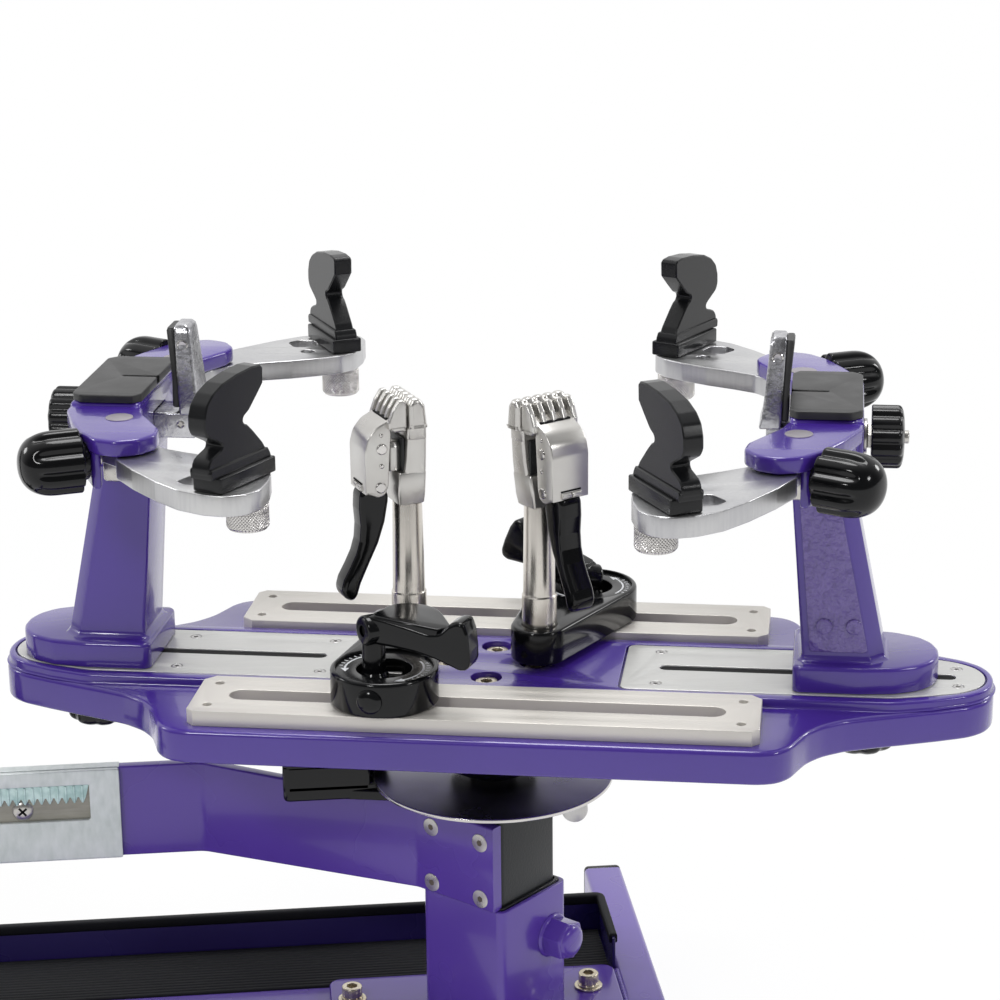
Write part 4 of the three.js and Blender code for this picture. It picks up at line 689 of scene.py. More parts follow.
def buildHead():
    d = head
    x, half, (front, back), low, high = (d[k] for k in ("x", "half", "y", "low", "high"))
    postHalf, postFront, postBack = d["post"]
    boxes = ((front, 158.6, back, high, 2.4, 3), (front, low, back, 110.7, 2.4, 3),
             (front + 0.2, 104, 56, 170, 1.4, 2), (65.7, 104, back - 0.2, 170, 1.4, 2))
    shell = [block(x - half, y0, z0, x + half, y1, z1, *more) for y0, z0, y1, z1, *more in boxes]
    wide = rectangle(x - half + 2, front + 2, x + half - 2, back - 2, 4)
    slim = rectangle(x - postHalf, postFront, x + postHalf, postBack, 4)
    # the neck narrows from the box to the post: share = 1 - (1 - t) ^ 1.8
    neck = [level(wide * (1 - e) + slim * e, high - 2 + (d["slant"] - high + 2) * t)
            for t, e in ((t, 1 - (1 - t) ** 1.8) for t in np.linspace(0, 1, 12))]
    post = slab(slim, d["slant"] - 2, d["postTop"], 1.2)
    jawBack = block(x - postHalf, d["blockFront"], d["postTop"] - 3, x + postHalf, postBack, d["blockTop"],
                    1.5, 3)
    makePiece("tensionHead", [*shell, ringStack(neck), post, jawBack], "tension head", "glossyBlackPlastic",
              "tension_head")
    teeth = [block(x - 11, d["blockFront"] - 0.35, z, x + 11, d["blockFront"] + 1, z + 1.5, 0.3)
             for z in d["postTop"] + 2.5 + np.arange(9) * 2.6]
    makePiece("gripTeeth", teeth, "tension head", "satinSteel")
    scale = [block(x + 4, postFront - 0.25, z, x + (11 if n % 5 else 12), postFront + 0.5, z + 0.7, 0.1)
             for n, z in enumerate(np.linspace(222, 332, 23))]
    makePiece("tensionScale", scale, "tension head", "whitePrint")
    screws = [s for sx in (-31, 31) for sz in (108, 166)
              for s in putAll(socketScrew(4, 1.6, 3, 1.2, 0.5), laid(-90, x + sx, front + 0.2, sz))]
    makePiece("headScrews", screws, "tension head", "zincBolt")
    plate = block(x - 12, 52, 353, x + 12, d["blockFront"] - 0.6, d["blockTop"], 1.2, 2.5)
    knob = put(flutedKnob(7, 10, 10, 0.12, 0.25, 0.6, 2.0), laid(-90, x, 53, 365.5))
    makePiece("stringGripper", [plate, knob], "string gripper", "brightSteel", "string_gripper")
    place = moved(x, front, d["crankZ"]) @ turned(90, "X") @ turned(205)
    web = slab(hullOf(circle(0, 0, 7), circle(d["crank"], 0, 7)), 6, 12, 1.8)
    makePiece("crankArm", [disk(13, 0.4, 12, 1.6, 48), web], "tension crank", "glossyBlackPlastic", at=place)
    makePiece("crankGrip", [barrelGrip(8, 12.2, 41.8, 0.86, 0.5, 16, 26)], "tension crank",
              "mouldedBlackPlastic", "tension_crank", place @ moved(d["crank"], 0, 0))


brake = {"disc": 57, "discTop": 171.4, "thickness": 2, "top": 158.5, "web": 5, "pivot": (-66, 38),
         "leverEnd": (40, 38), "caliper": (-100, 4, -50, 30), "gap": (167.2, 173.6), "caliperTop": 180.5,
         "screws": ((-90, 11), (-90, 24), (-68, 17)), "hubSeat": 23.1, "hubScrews": 20.6}


def buildBrake():
    d = brake
    low, high = d["top"], d["top"] + d["web"]
    x0, y0, x1, y1 = d["caliper"]
    plate = slab(squareTube(41.8, 3), low, high, 0.7, [circle(0, 0, 12)])
    web = slab(bar([(-14, 3.2), (-75, 17)], 11), low, high, 0.7)
    ledge = slab(hullOf(circle(*d["pivot"], 9), circle(-66, 17, 9)), low, high, 0.7)
    heights = ((low, d["gap"][0]), (d["gap"][1], d["caliperTop"]))
    jaws = [block(x0, y0, z0, x1, y1, z1, 1.6, 3) for z0, z1 in heights]
    loop = rounded([(x0, y0), (-58.6, y0), (-55, 17), (-52, 26), (-50.2, y1), (x0, y1)], 1.5)
    back = slab(loop, 164, 176, 0.2)
    makePiece("brakeBody", [plate, web, ledge, *jaws, back], "lift", "glossyBlackPlastic", "brake_body")
    screws = [s for spot in d["screws"]
              for s in putAll(socketScrew(3.4, 2.4, 2.8, 1.6), moved(*spot, d["caliperTop"] - 0.1))]
    makePiece("caliperScrews", screws, "lift", "zincBolt")
    pads = [block(-57.5, 8, z, -50.5, 26, z + 1.2, 0.3) for z in (167, 172.8)]
    makePiece("caliperPads", pads, "lift", "blackRubber")
    pin = [disk(4, 1, 12, 0.5, 28), disk(5.6, 0, 1.5, 0.4, 28)]
    makePiece("pivotPin", pin, "lift", "zincBolt", at=moved(*d["pivot"], 151.2))
    top = low - 0.4
    lever = slab(hullOf(circle(*d["pivot"], 9), circle(-40, 38, 5.2)), top - 5, top, 0.8,
                 [circle(*d["pivot"], 4.2)])
    stem = slab(hullOf(circle(-44, 38, 5), circle(*d["leverEnd"], 5)), top - 5, top, 0.8)
    makePiece("brakeLeverBar", [lever, stem], "brake lever", "satinSteel", "brake_lever")
    makePiece("brakeLeverKnob", [barrelGrip(7, 0, 37.8, 0.84, 0.6, 20, 24)], "brake lever", "satinSteel",
              at=laid(-90, d["leverEnd"][0], 40.4, 146.5))


def buildDisc():
    d = brake
    radius, top, spread = d["disc"], d["discTop"], d["hubScrews"]
    low, seat = top - d["thickness"], spin["railTop"] - d["hubSeat"]
    makePiece("brakeDisc", [disk(radius, low, top, 0.5, 96)], "turntable", "turnedDiscSteel", "brake_disc")
    makePiece("discRim", [disk(radius + 0.2, low + 0.1, top - 0.1, 0.4, 96, radius - 1)], "turntable",
              "brightSteel")
    hub = soft([[0, low - 3], [12, low - 3], [12, 175.5], [21, 175.5], [22, 178], [22, seat - 4],
                [30, seat - 4], [30, seat], [0, seat]], 1.2, 56)
    collar = soft([[10, low - 2], [26, low - 2], [24, low - 4.5], [10, low - 4.5]], 0.8, 56)
    makePiece("discHub", [hub, collar], "turntable", "glossyBlackPlastic")
    makePiece("spindle", [disk(10, low - 22, low, 0.6, 40)], "turntable", "satinSteel")
    for n in range(4):
        a = math.radians(90 * n)
        place = tablePlace @ moved(spread * math.cos(a), spread * math.sin(a), -12.1)
        makePiece(f"hubScrew_{n + 1}", socketScrew(5.4, 7.6, 5, 3.4, turn=15 * n), "turntable",
                  "goldZincBolt", at=place)
        # a near-black hexagon of painted shade fills each socket
        makePiece(f"hubSocket_{n + 1}", [cap([hexagon(4.9, 15 * n)], 5.2)], "turntable", "paintedShadeFill",
                  at=place)


print("materials and helpers ready")
for build in (buildBase, buildTray, buildColumn, buildArm, buildRack, buildHead, buildBrake, buildDisc):
    build()
print("base, column, arm, head and brake built")


table = {"bottom": -23, "wingTop": -7.2, "beamTop": -2.7, "plate": 3, "slot": (79, 215.9), "slotHalf": 4.2,
         "plateGap": 0.9, "groove": (117, 60.4, 11, 10), "counterbore": (7.2, -12.2),
         "edges": (1.8, 2.2, 1.2, 0.4, 0.5)}
wingQuarter = [(128, 89), (136, 87), (142, 81), (145, 73), (149, 63), (156, 54), (166, 47), (178, 42),
               (190, 37.6), (207, 31), (222, 24.5), (229, 18), (232.4, 10), (233.4, 0)]
beamQuarter = [(187, 35.5), (205, 30), (220, 23.2), (228, 16.6), (232, 8.4), (233, 0)]
plateSide = [(62.5, 28.6), (187, 28.6), (203, 24.4), (217, 19.6), (225, 13.4), (228.6, 6), (229.3, 0)]


def plateLoop(gap=0.0):
    loop = mirroredLoop(plateSide)
    loop = rounded(loop, np.where(loop[:, 0] < 63, 3.5, 26), 5)
    return inset(loop, -gap) if gap else loop


def buildTurntable():
    d = table
    bottom, wingTop, top = d["bottom"], d["wingTop"], d["beamTop"]
    wing, beam = (rounded(mirroredLoop(q, True), r) for q, r in ((wingQuarter, 26), (beamQuarter, 24)))
    (low, high), gap, spread = d["slot"], d["plateGap"], brake["hubScrews"]
    slots, recesses = ([turnedLoop(loop, t)[::-1] for t in (0, 180)] for loop in
                       (slotLoop(low - gap, high + gap, 0, d["slotHalf"]), plateLoop(gap)))
    length, y, across, depth = d["groove"]
    grooves = [slotLoop(-length, length, s * y, across)[::-1] for s in (-1, 1)]
    radius, floor = d["counterbore"]
    bores = [circle(spread * math.cos(a), spread * math.sin(a), radius, 36)[::-1]
             for a in np.radians([0, 90, 180, 270])]
    recessFloor, grooveFloor = top - d["plate"], wingTop - depth
    # the beam stands on the wing with a fillet as wide as its upper edge
    footEdge, wingEdge, edge, recessEdge, boreEdge = d["edges"]
    t = np.radians(np.linspace(0, 90, 4))
    fillet = np.column_stack([-edge * (1 - np.sin(t)), wingTop + edge * (1 - np.cos(t))])
    inner = [*[inset(r, recessEdge) for r in recesses], *[inset(b, boreEdge) for b in bores]]
    shells = [wall(wing, stations(bottom, wingTop, footEdge, wingEdge, 5)),
              cap([inset(wing, footEdge), *slots], bottom),
              cap([inset(wing, wingEdge), inset(beam, -edge)[::-1], *grooves], wingTop),
              wall(beam, np.vstack([fillet, stations(wingTop + edge + 0.1, top, 0, edge)])),
              cap([inset(beam, edge), *inner], top)]
    for slot, recess in zip(slots, recesses):
        shells += [wall(slot, [(0, bottom), (0, recessFloor)]), cap([recess[::-1], slot], recessFloor),
                   wall(recess, stations(recessFloor, top, 0, recessEdge))]
    for groove in grooves:
        shells += [wall(groove, [(0, grooveFloor), (0, wingTop)]), cap([groove[::-1]], grooveFloor)]
    for bore in bores:
        shells += [wall(bore, stations(floor, top, 0, boreEdge)), cap([bore[::-1]], floor)]
    makePiece("turntableCasting", shells, "turntable", "castPurplePaint", "turntable_body", tablePlace)


rail = {"half": 128.3, "y": (38, 82.5), "corners": (5, 5, 3.4, 3.4), "slotY": 60.4, "slotHalf": 6,
        "slotLength": 112.6, "holeX": 120, "holeY": (47, 73.8), "holeRadius": 2.1}


def buildRails():
    d = rail
    long, y, half = d["slotLength"], d["slotY"], d["slotHalf"]
    loop = rectangle(-d["half"], d["y"][0], d["half"], d["y"][1], d["corners"], 2)
    spots = [(x, y) for x in (-d["holeX"], d["holeX"]) for y in d["holeY"]]
    holes = [slotLoop(-long, long, y, half, 13), *[circle(*spot, d["holeRadius"], 24) for spot in spots]]
    for side, turn in (("front", 180), ("rear", 0)):
        place = tablePlace @ turned(turn)
        makePiece(f"clampRail_{side}", [slab(loop, table["wingTop"], 0, 0.35, holes, 0.2)], "turntable",
                  "anodisedAluminium", f"clamp_rail_{side}", place)
        # the slot walls get a paler lining: painted light, so the shaded walls read as bright as lit metal
        liner = wall(slotLoop(-long + 0.05, long - 0.05, y, half - 0.05, 13),
                     [(0, table["wingTop"]), (0, -0.35)])
        makePiece(f"railSlot_{side}", [liner], "turntable", "paintedLightSlotWall", at=place)
        screws = [s for spot in spots for s in putAll(socketScrew(2, 1.6, 1.8, 1.2, 0.2), moved(*spot, -3.2))]
        makePiece(f"railScrews_{side}", screws, "turntable", "satinSteel", at=place)


plateScrews = [(78.5, 20.5), (78.5, -20.5), (147, 20), (147, -20), (216.5, 11.2), (216.5, -11.2)]


def buildPlates():
    (low, high), top = table["slot"], table["beamTop"]
    for end, turn in (("right", 0), ("left", 180)):
        place = tablePlace @ turned(turn)
        holes = [slotLoop(low, high, 0, 3.2, 11), *[circle(*spot, 2.7, 24) for spot in plateScrews]]
        makePiece(f"endPlate_{end}", [slab(plateLoop(), top - table["plate"], top, 0.4, holes, 0.1, 0.3)],
                  "turntable", "plateAluminium", f"end_plate_{end}", place)
        heads = [s for n, spot in enumerate(plateScrews)
                 for s in putAll(socketScrew(2.5, 1.1, 2, 0.9, 0.25, 20 * n), moved(*spot, top - 1.2))]
        makePiece(f"plateScrews_{end}", heads, "turntable", "satinSteel", at=place)
        # a near-black sheet of painted shade lies in each plate's slot
        makePiece(f"plateSlot_{end}", [cap([slotLoop(low + 0.3, high - 0.3, 0, 2.9, 11)], top - 0.6)],
                  "turntable", "paintedShadeFill", at=place)


tower = {"foot": [(-1, 24.5), (1.5, 27), (30, 27), (46, 24.8), (57, 19.5), (63, 12), (65.5, 4)],
         "footZ": (-2.5, 9.9), "legBottom": (3, 40.4, 18.2), "legTop": (-3.8, 22.8, 17), "legTopZ": 98,
         "flare": 3.4, "head": (-4.5, 28, 36), "headZ": (98, 129), "channel": (11.4, 105.6, 118.4, 22),
         "earZ": (119.9, 127.5), "pinV": 54, "skirtLow": 103, "knob": (13.3, 81, 115.2, 27)}
earOutline = [(28, 30), (27.5, 42), (19.5, 62), (11, 79), (2.5, 88.5), (-8, 92), (-17.5, 87.5), (-23, 78),
              (-21.5, 68.5), (-16, 58.5), (-8, 44.5), (-4.5, 30)]
skirtOutline = [(27.5, 30), (24.6, 42), (16.8, 60.7), (8.3, 77.7), (5.4, 83.8), (0.7, 83.8), (12.9, 57.2),
                (20.3, 42.4), (20.3, 30)]
topPadHalf = [(-1.5, -35.5), (23, -35.5), (27.5, -31)]


def legRing(grow, share, z):
    # the leg's section, with its two outer corners cut, from its foot at share 0 to its top at share 1
    inner, outer, across = (a + (b - a) * share for a, b in zip(tower["legBottom"], tower["legTop"]))
    inner, outer, across, cut = inner - grow, outer + grow, across + grow, 6.6 - 0.6 * share
    loop = [(inner, -across), (outer - cut, -across), (outer, -across + cut), (outer, across - cut),
            (outer - cut, across), (inner, across)]
    return level(rounded(loop, [r + grow for r in (1.8, 1.2, 1.2, 1.2, 1.2, 1.8)], 4), z)


def buildTower(end):
    d = tower
    place, body = towerPlace[end], f"{end} tower"
    footLow, footHigh = d["footZ"]
    start, top = footHigh + d["flare"], d["legTopZ"]
    foot = slab(rounded(mirroredLoop(d["foot"]), 16), footLow, footHigh, 1.8, foot=0.4)
    rings = [legRing(d["flare"] * (1 - math.sin(a)), 0, footHigh - 0.2 + d["flare"] * (1 - math.cos(a)))
             for a in np.radians(np.linspace(0, 90, 7))]
    rings += [legRing(0, share, start + share * (top + 1 - start)) for share in np.linspace(0.05, 1, 6)]
    (low, high, across), (zLow, zHigh), (cHalf, cLow, cHigh, cEnd) = d["head"], d["headZ"], d["channel"]
    section = rectangle(-across, zLow, across, zHigh, 3.5)
    front = lengthwise(section, low, cEnd, 0, [rectangle(-cHalf, cLow, cHalf, cHigh, 0.8)], 1.8, 0.4)
    shells = [foot, ringStack(rings), front, lengthwise(section, cEnd, high, 1.8, foot=0)]
    for side in (-1, 1):
        ear, skirt = (anticlockwise(np.array(p) * [1, side]) for p in (earOutline, skirtOutline))
        shells += [slab(rounded(ear, 9), *d["earZ"], 1.5),
                   slab(rounded(skirt, 2.2, 4), d["skirtLow"], d["earZ"][0] + 1, 1.2, foot=1.6)]
    makePiece(f"towerCasting_{end}", shells, body, "castPurplePaint", f"tower_{end}", place)

    def onLeg(shell):
        # the shell's XY plane is laid on the leg's narrowing side, its Z pointing outwards
        points, faces, flat = shell
        side = np.interp(points[:, 1], [start, top], [d["legBottom"][2], d["legTop"][2]])
        return np.column_stack([points[:, 0], -side - points[:, 2], points[:, 1]]), faces, flat

    panel = slab(rounded([(6.6, 14.5), (33, 14.5), (16.2, 97), (-0.4, 97)], 1.5), -0.3, 0.5, 0.3)
    bosses = [put(disk(3.7, 0.4, 1.5, 0.5), moved(u, 27, 0)) for u in (12.8, 26.4)]
    makePiece(f"legPanel_{end}", [onLeg(s) for s in (panel, *bosses)], body, "peelPurplePaint", at=place)

    for v, name in ((-d["pinV"], "a"), (d["pinV"], "b")):
        pin = place @ moved(0, v, 0)
        makePiece(f"pinFace_{end}_{name}", [disk(6.15, 127.2, 127.85, 0.2, 40)], body, "greyPinFace", at=pin)
        shells = [slab(rectangle(-8.4, -6.8, 7.4, 6.8, 3), 99.4, 109.6, 1.4), disk(4.8, 101.5, 120, 0),
                  disk(7.6, 108.6, 110, 0.3, 36), disk(7.4, 119.5, 120.2, 0.2, 36)]
        makePiece(f"armPin_{end}_{name}", shells, body, "zincBolt", at=pin)
    corners = [(-4.6, 31), (-4.6, 1.3), (12.3, 1.3), (12.3, -1.3), (-4.6, -1.3), (-4.6, -31), *topPadHalf,
               *[(x, -y) for x, y in topPadHalf[::-1]]]
    padLoop = anticlockwise(rounded(corners, [1.5, 1.4, 1.2, 1.2, 1.4, 1.5, 2, 3, 3, 3, 3, 2]))
    makePiece(f"topPad_{end}", [slab(padLoop, 129, 132.6, 0.6, foot=0.1)], body, "greyPadRubber",
              f"top_pad_{end}", place)
    # a near-black strip of painted shade lies at the foot of the pad's slit
    makePiece(f"padSlit_{end}", [block(-4.3, -0.9, 129.05, 12.6, 0.9, 129.5, 0.1)], body, "paintedShadeFill",
              at=place)


bracket = {"left": -21, "right": -13, "slider": (11, 106, 118, 27), "knobZ": 112}
# low X and high X from the bracket's face, half width and height
bracketRings = [(-5.4, 4.1, 11.2, 117.2), (-5.6, 4.3, 11.9, 118.2), (-4.6, 4.5, 11.8, 122),
                (-3.8, 4.8, 11.2, 128), (-1.9, 5.8, 8.9, 149), (-1.4, 6.1, 8.2, 155), (-0.9, 6.2, 7.4, 157.4),
                (0.2, 5.6, 6.2, 158.6)]
bracketPadRings = [(4.6, 7.2, 9.6, 120.4), (4.4, 7.55, 10.5, 121.4), (4.9, 7.55, 9.7, 133.8),
                   (6.1, 9.6, 7.9, 156.2), (6.3, 9.2, 7.1, 157.4)]
bracketSpots = [(2.2, 8.75, 149.5, 2.7), (4, 11, 112.6, 1.9)]


def buildBracket(end):
    place, body, knob, face = towerPlace[end], f"{end} centre bracket", f"{end} centre knob", bracket[end]
    sHalf, sLow, sHigh, sLength = bracket["slider"]
    slider = lengthwise(rectangle(-sHalf, sLow, sHalf, sHigh, 1), face - 2.4, face + sLength, 0.5)
    # the upright's section narrows both ways towards its top and leans a little outwards
    upright, pad = (sections([(face + a, face + b, w, z) for a, b, w, z in rows], corner)
                    for rows, corner in ((bracketRings, 1.1), (bracketPadRings, 1.0)))
    makePiece(f"centreBracket_{end}", [slider, upright], body, "hammeredZinc", f"centre_bracket_{end}", place)
    marks = [put(lathe([[0, 0.05], [r - 0.9, 0.05], [r - 0.45, 0.4], [r, 0.05]], 28),
                 laid(s * 90, face + u, s * v, z)) for s in (-1, 1) for u, v, z, r in bracketSpots]
    makePiece(f"bracketMarks_{end}", marks, body, "brightSteel", at=place)
    makePiece(f"bracketPad_{end}", [pad], body, "greyPadRubber", f"bracket_pad_{end}", place)
    along = place @ laid(0, 0, 0, bracket["knobZ"])
    shell = flutedKnob(14.3, 15, 12, 0.11, 0.24, 0.8, 2.2, reach=0.96, bulge=3)
    makePiece(f"centreKnob_{end}", [shell], knob, "mouldedBlackPlastic", f"centre_knob_{end}",
              along @ moved(0, 0, 31.6))
    stud = [disk(3, 30, 48.6, 0.6, 28), disk(8, 28.3, 29.7, 0.2, 36, 3),
            slab(hexagon(10.5, 10), 29.7, 32.4, 0.5)]
    makePiece(f"centreStud_{end}", stud, knob, "zincBolt", at=along)


def buildSideKnob(end, side):
    sign = signOf(end, side)
    u, v, z, angle = tower["knob"]
    place, body = towerPlace[end] @ laid(sign * angle, u, sign * v, z), f"{end} {side} side knob"
    knob = flutedKnob(14.4, 27.4, 9, 0.13, 0.6, 1.0, 2.6, reach=0.78)
    makePiece(f"sideKnob_{end}_{side}", [knob], body, "glossyBlackPlastic", f"side_knob_{end}_{side}",
              place @ moved(0, 0, -2))
    stud = soft([[0, -11.4], [3, -11.4], [3, 0], [4.4, 0], [4.4, 1], [0, 1]], 0.3, 28)
    collar = soft([[3, -5.2], [8.6, -5.2], [9.6, -1.6], [3, -1.6]], 0.6, 36)
    makePiece(f"sideStud_{end}_{side}", [stud], body, "zincBolt", at=place)
    makePiece(f"sideCollar_{end}_{side}", [collar], body, "mouldedBlackPlastic", at=place)


sideArm = {"z": (110.2, 119.4), "hole": (55, 49, 3.4), "stud": (69.5, 57),
           "swing": {"left_front": 0, "left_rear": 0, "right_front": 11.5, "right_rear": 5.6}}
armOutline = [(-12, -3), (-10.8, 5.4), (-5, 13), (2.5, 19.5), (5.2, 24), (6.2, 29), (6.8, 36), (18.4, 51.8),
              (32.4, 67.6), (44.7, 79), (56.7, 85.2), (67, 86.8), (75, 83.4), (79.6, 75), (80.4, 62),
              (79, 50), (73.3, 42), (63, 35.6), (50.3, 29.4), (37, 24.4), (25, 19), (15.5, 9), (11.5, -3),
              (4, -11.5), (-7, -11.5)]
armWindow = [(41.4, 66.4), (46.4, 71.4), (54.5, 71.4), (57.5, 62), (52, 57.5), (46.4, 57)]


def armPlace(end, side):
    sign, a = signOf(end, side), math.radians(sideArm["swing"][f"{end}_{side}"])
    c, s = math.cos(a), math.sin(a)
    m = np.eye(4)
    m[:2, 0], m[:2, 1], m[1, 3] = (-c, sign * s), (s, sign * c), sign * tower["pinV"]
    return towerPlace[end] @ m


def buildArmOf(end, side):
    d = sideArm
    spots = (d["hole"], (*d["stud"], 4.1), (0, 0, 5.1))
    holes = [rounded(armWindow, 3), *[circle(*spot, 28) for spot in spots]]
    plate = slab(rounded(armOutline, 11), *d["z"], 0.6, holes, holeEdge=0.5)
    makePiece(f"sideArm_{end}_{side}", [plate], f"{end} {side} arm", "satinCastAluminium",
              f"side_arm_{end}_{side}", armPlace(end, side))


jaw = {"base": (1.2, 41.2, 7.4, 6.9), "half": 5.6, "hook": 4.5, "low": 119.6, "studShare": 0.71,
       "angle": {"left_front": 67, "left_rear": 60.5, "right_front": 60, "right_rear": 64}}
jawProfile = [(-1, 7), (40.4, 7), (38.4, 10.6), (36.3, 13.7), (29.4, 20.7), (25.6, 24.1), (23.8, 24.6),
              (22.6, 26.4), (23.3, 27.9), (27, 29.6), (33, 34.8), (37.8, 39.2), (38.1, 46), (36.6, 47.4),
              (31.1, 47.9), (20.2, 47.2), (9.4, 45.4), (2.2, 42.4), (-2.2, 38.7), (-4.2, 33.5), (-4.4, 28.4),
              (-2.6, 25.2), (5.6, 20.9), (7.6, 19.6), (6.6, 17.6), (2.5, 16.4), (-1.6, 14.9), (-3.2, 11.8),
              (-3.2, 8.5)]
jawHeel = [(-2.6, 6.6), (40.7, 6.6), (39.6, 9.2), (38.4, 11), (-2.4, 11), (-3, 9.6)]


def buildJaw(end, side):
    d = jaw
    near, far, across, tall = d["base"]
    low, half, hook = d["low"], d["half"], d["hook"]
    at = (np.linalg.inv(towerPlace[end]) @ armPlace(end, side) @ [*sideArm["stud"], 0, 1])[:2]
    onStud = towerPlace[end] @ moved(*at, 0) @ turned(180 + signOf(end, side) * d["angle"][f"{end}_{side}"])
    radii = np.full(len(jawProfile), 5.0)
    radii[10:14] = 1.6, 0.9, 1.0, 1.2  # the hook's nose is the sharper part
    shells = [block(near, -across, low, far, across, low + tall, 0.7, 1),
              standing(rounded(np.array(jawProfile) + [0, low], radii, 4), -hook, hook, 0.6, count=2),
              standing(rounded(np.array(jawHeel) + [0, low], 0.5, 3), -half, half, 0.5, count=2)]
    body = f"{end} {side} jaw"
    makePiece(f"jaw_look_{end}_{side}", shells, body, "satinBlackPlastic", f"jaw_{end}_{side}",
              onStud @ moved(-d["studShare"] * far, 0, 0))
    nut = put(knurledNut(9.3, 13.2), moved(0, 0, 109.7) @ turned(180, "X"))
    makePiece(f"jawNut_{end}_{side}", [nut, disk(3.9, 108, 120, 0, 28), disk(8, 109.3, 110.1, 0.2)], body,
              "brightSteel", at=onStud)


def knurledNut(radius, length, count=38, depth=0.45):
    # radius - depth * (1 - |cos(n (a + h) / 2)| * |cos(n (a - h) / 2)|) gives square diamonds,
    # where a is the angle and h the height over the radius
    t = np.linspace(0, 2 * np.pi, count * 6, endpoint=False)
    z = np.linspace(0, 1, 37) * length
    edge = np.clip(np.minimum(z, length - z) / 1.2, 0, 1)[:, None]
    a, h = np.meshgrid(t, z / radius)
    cut = np.abs(np.cos(count * (a + h) / 2)) * np.abs(np.cos(count * (a - h) / 2))
    r = radius - 1.1 * (1 - edge) - depth * (1 - cut) * (edge > 0.3)
    return spun(np.vstack([0.001 * r[:1], r, 0.001 * r[-1:]]), t, [0, *z, length])


def buildLockKnob(end):
    place, body = towerPlace[end] @ moved(31, 0, -23.4) @ turned(180, "X"), f"{end} lock knob"
    makePiece(f"lockKnob_{end}", [flutedKnob(16, 16, 8, 0.1, 0.35, 1.5, 2.0)], body, "mouldedBlackPlastic",
              f"lock_knob_{end}", place)
    makePiece(f"lockStud_{end}", [disk(2.7, -27, 1, 0, 24)], body, "zincBolt", at=place)


buildTurntable()
buildRails()
buildPlates()
for end in ends:
    for build in (buildTower, buildBracket, buildLockKnob):
        build(end)
    for side in ("front", "rear"):
        for build in (buildSideKnob, buildArmOf, buildJaw):
            build(end, side)
print("turntable and towers built")


clamp = {"post": {"left": (-39, 1), "right": (22.5, 1)}, "dial": {"left": (-41, -60.4), "right": (39, 60.4)},
         "radius": 24.5, "postEnd": 13.5, "height": 16.6, "recess": 22.2, "well": 12.6,
         "markTurn": {"left": 0, "right": 215}, "yaw": {"left": -150, "right": -46}, "postQ": -3.8,
         "mark": 17.8, "pitch": 5.8,
         "lever": {"left": ((-45.6, -60.4), 35.4, -14, 0), "right": ((39.5, 60.4), 19.5, 148, 20)}}
leverProfile = [(-1.5, -6.4), (-1.5, 4.4), (1.5, 6.8), (8, 6), (20, 3.8), (29.5, 1.8), (34.6, 2.6),
                (38.8, 6.6), (42.4, 8.6), (46, 8.4), (47.8, 3), (48.6, -5), (48.6, -10.6), (47.2, -13.8),
                (43.6, -14.2), (38.6, -12.4), (31.6, -10), (22, -8.2), (10, -7)]
handleProfile = [(7.2, 81), (7.4, 77.6), (9.2, 68), (12.6, 58), (17.4, 48.4), (21.6, 39.6), (23.6, 33.4),
                 (26, 31.4), (29.6, 33), (31.2, 37), (29.8, 42), (26.4, 48), (23.4, 54), (21.6, 60), (21, 67),
                 (21.6, 75), (21.2, 82), (18, 87.6), (12, 88.6)]
fixedTooth = [(-0.4, 113), (-0.4, 124.5), (-2.2, 127.5), (-5.6, 127.5), (-8.4, 124), (-9.6, 113)]
movingTooth = [(0.4, 114), (0.4, 124.6), (1.6, 127.2), (4.2, 127), (7, 122.6), (9.2, 117), (9.2, 114)]
# the head's foot, back and neck: low X, high X, half width and height
headStacks = [
    [(-9.2, 2.4, 6.9, 75.3), (-9.5, 3.4, 8.2, 76.2), (-9.7, 4.0, 9.4, 81), (-9.8, 4.0, 10.6, 91),
     (-9.6, 3.6, 10.2, 91.9)],
    [(-9.8, 1.2, 10.2, 90), (-9.8, 0.2, 11, 98), (-9.8, -0.4, 11.6, 109)],
    [(-9.8, -2.6, 11.2, 106.6), (-9.8, 0, 11.8, 108.2), (-9.7, -0.3, 12, 116), (-9.2, -0.4, 12, 119)],
]
coverSheet = [(19.2, 83.6), (19.3, 104), (17.8, 109.6), (14, 114.2), (8.4, 117)]
coverCheek = [(19.9, 84.2), (20, 104), (18.4, 110.2), (14.2, 115), (8.2, 117.4), (7.4, 111), (8.4, 98),
              (9, 87), (10.6, 82.6), (14.4, 81.6), (17.6, 83)]
bridgeOutline = [(0.5, 112), (0.5, 119.4), (4.2, 120.2), (9.4, 117.4), (9.4, 114.6), (6.5, 112)]
rivets = ((12, 104.6, 2.6), (12.9, 86.4, 2.6), (12.2, 111.2, 0.9), (12.2, 96.6, 1.1))


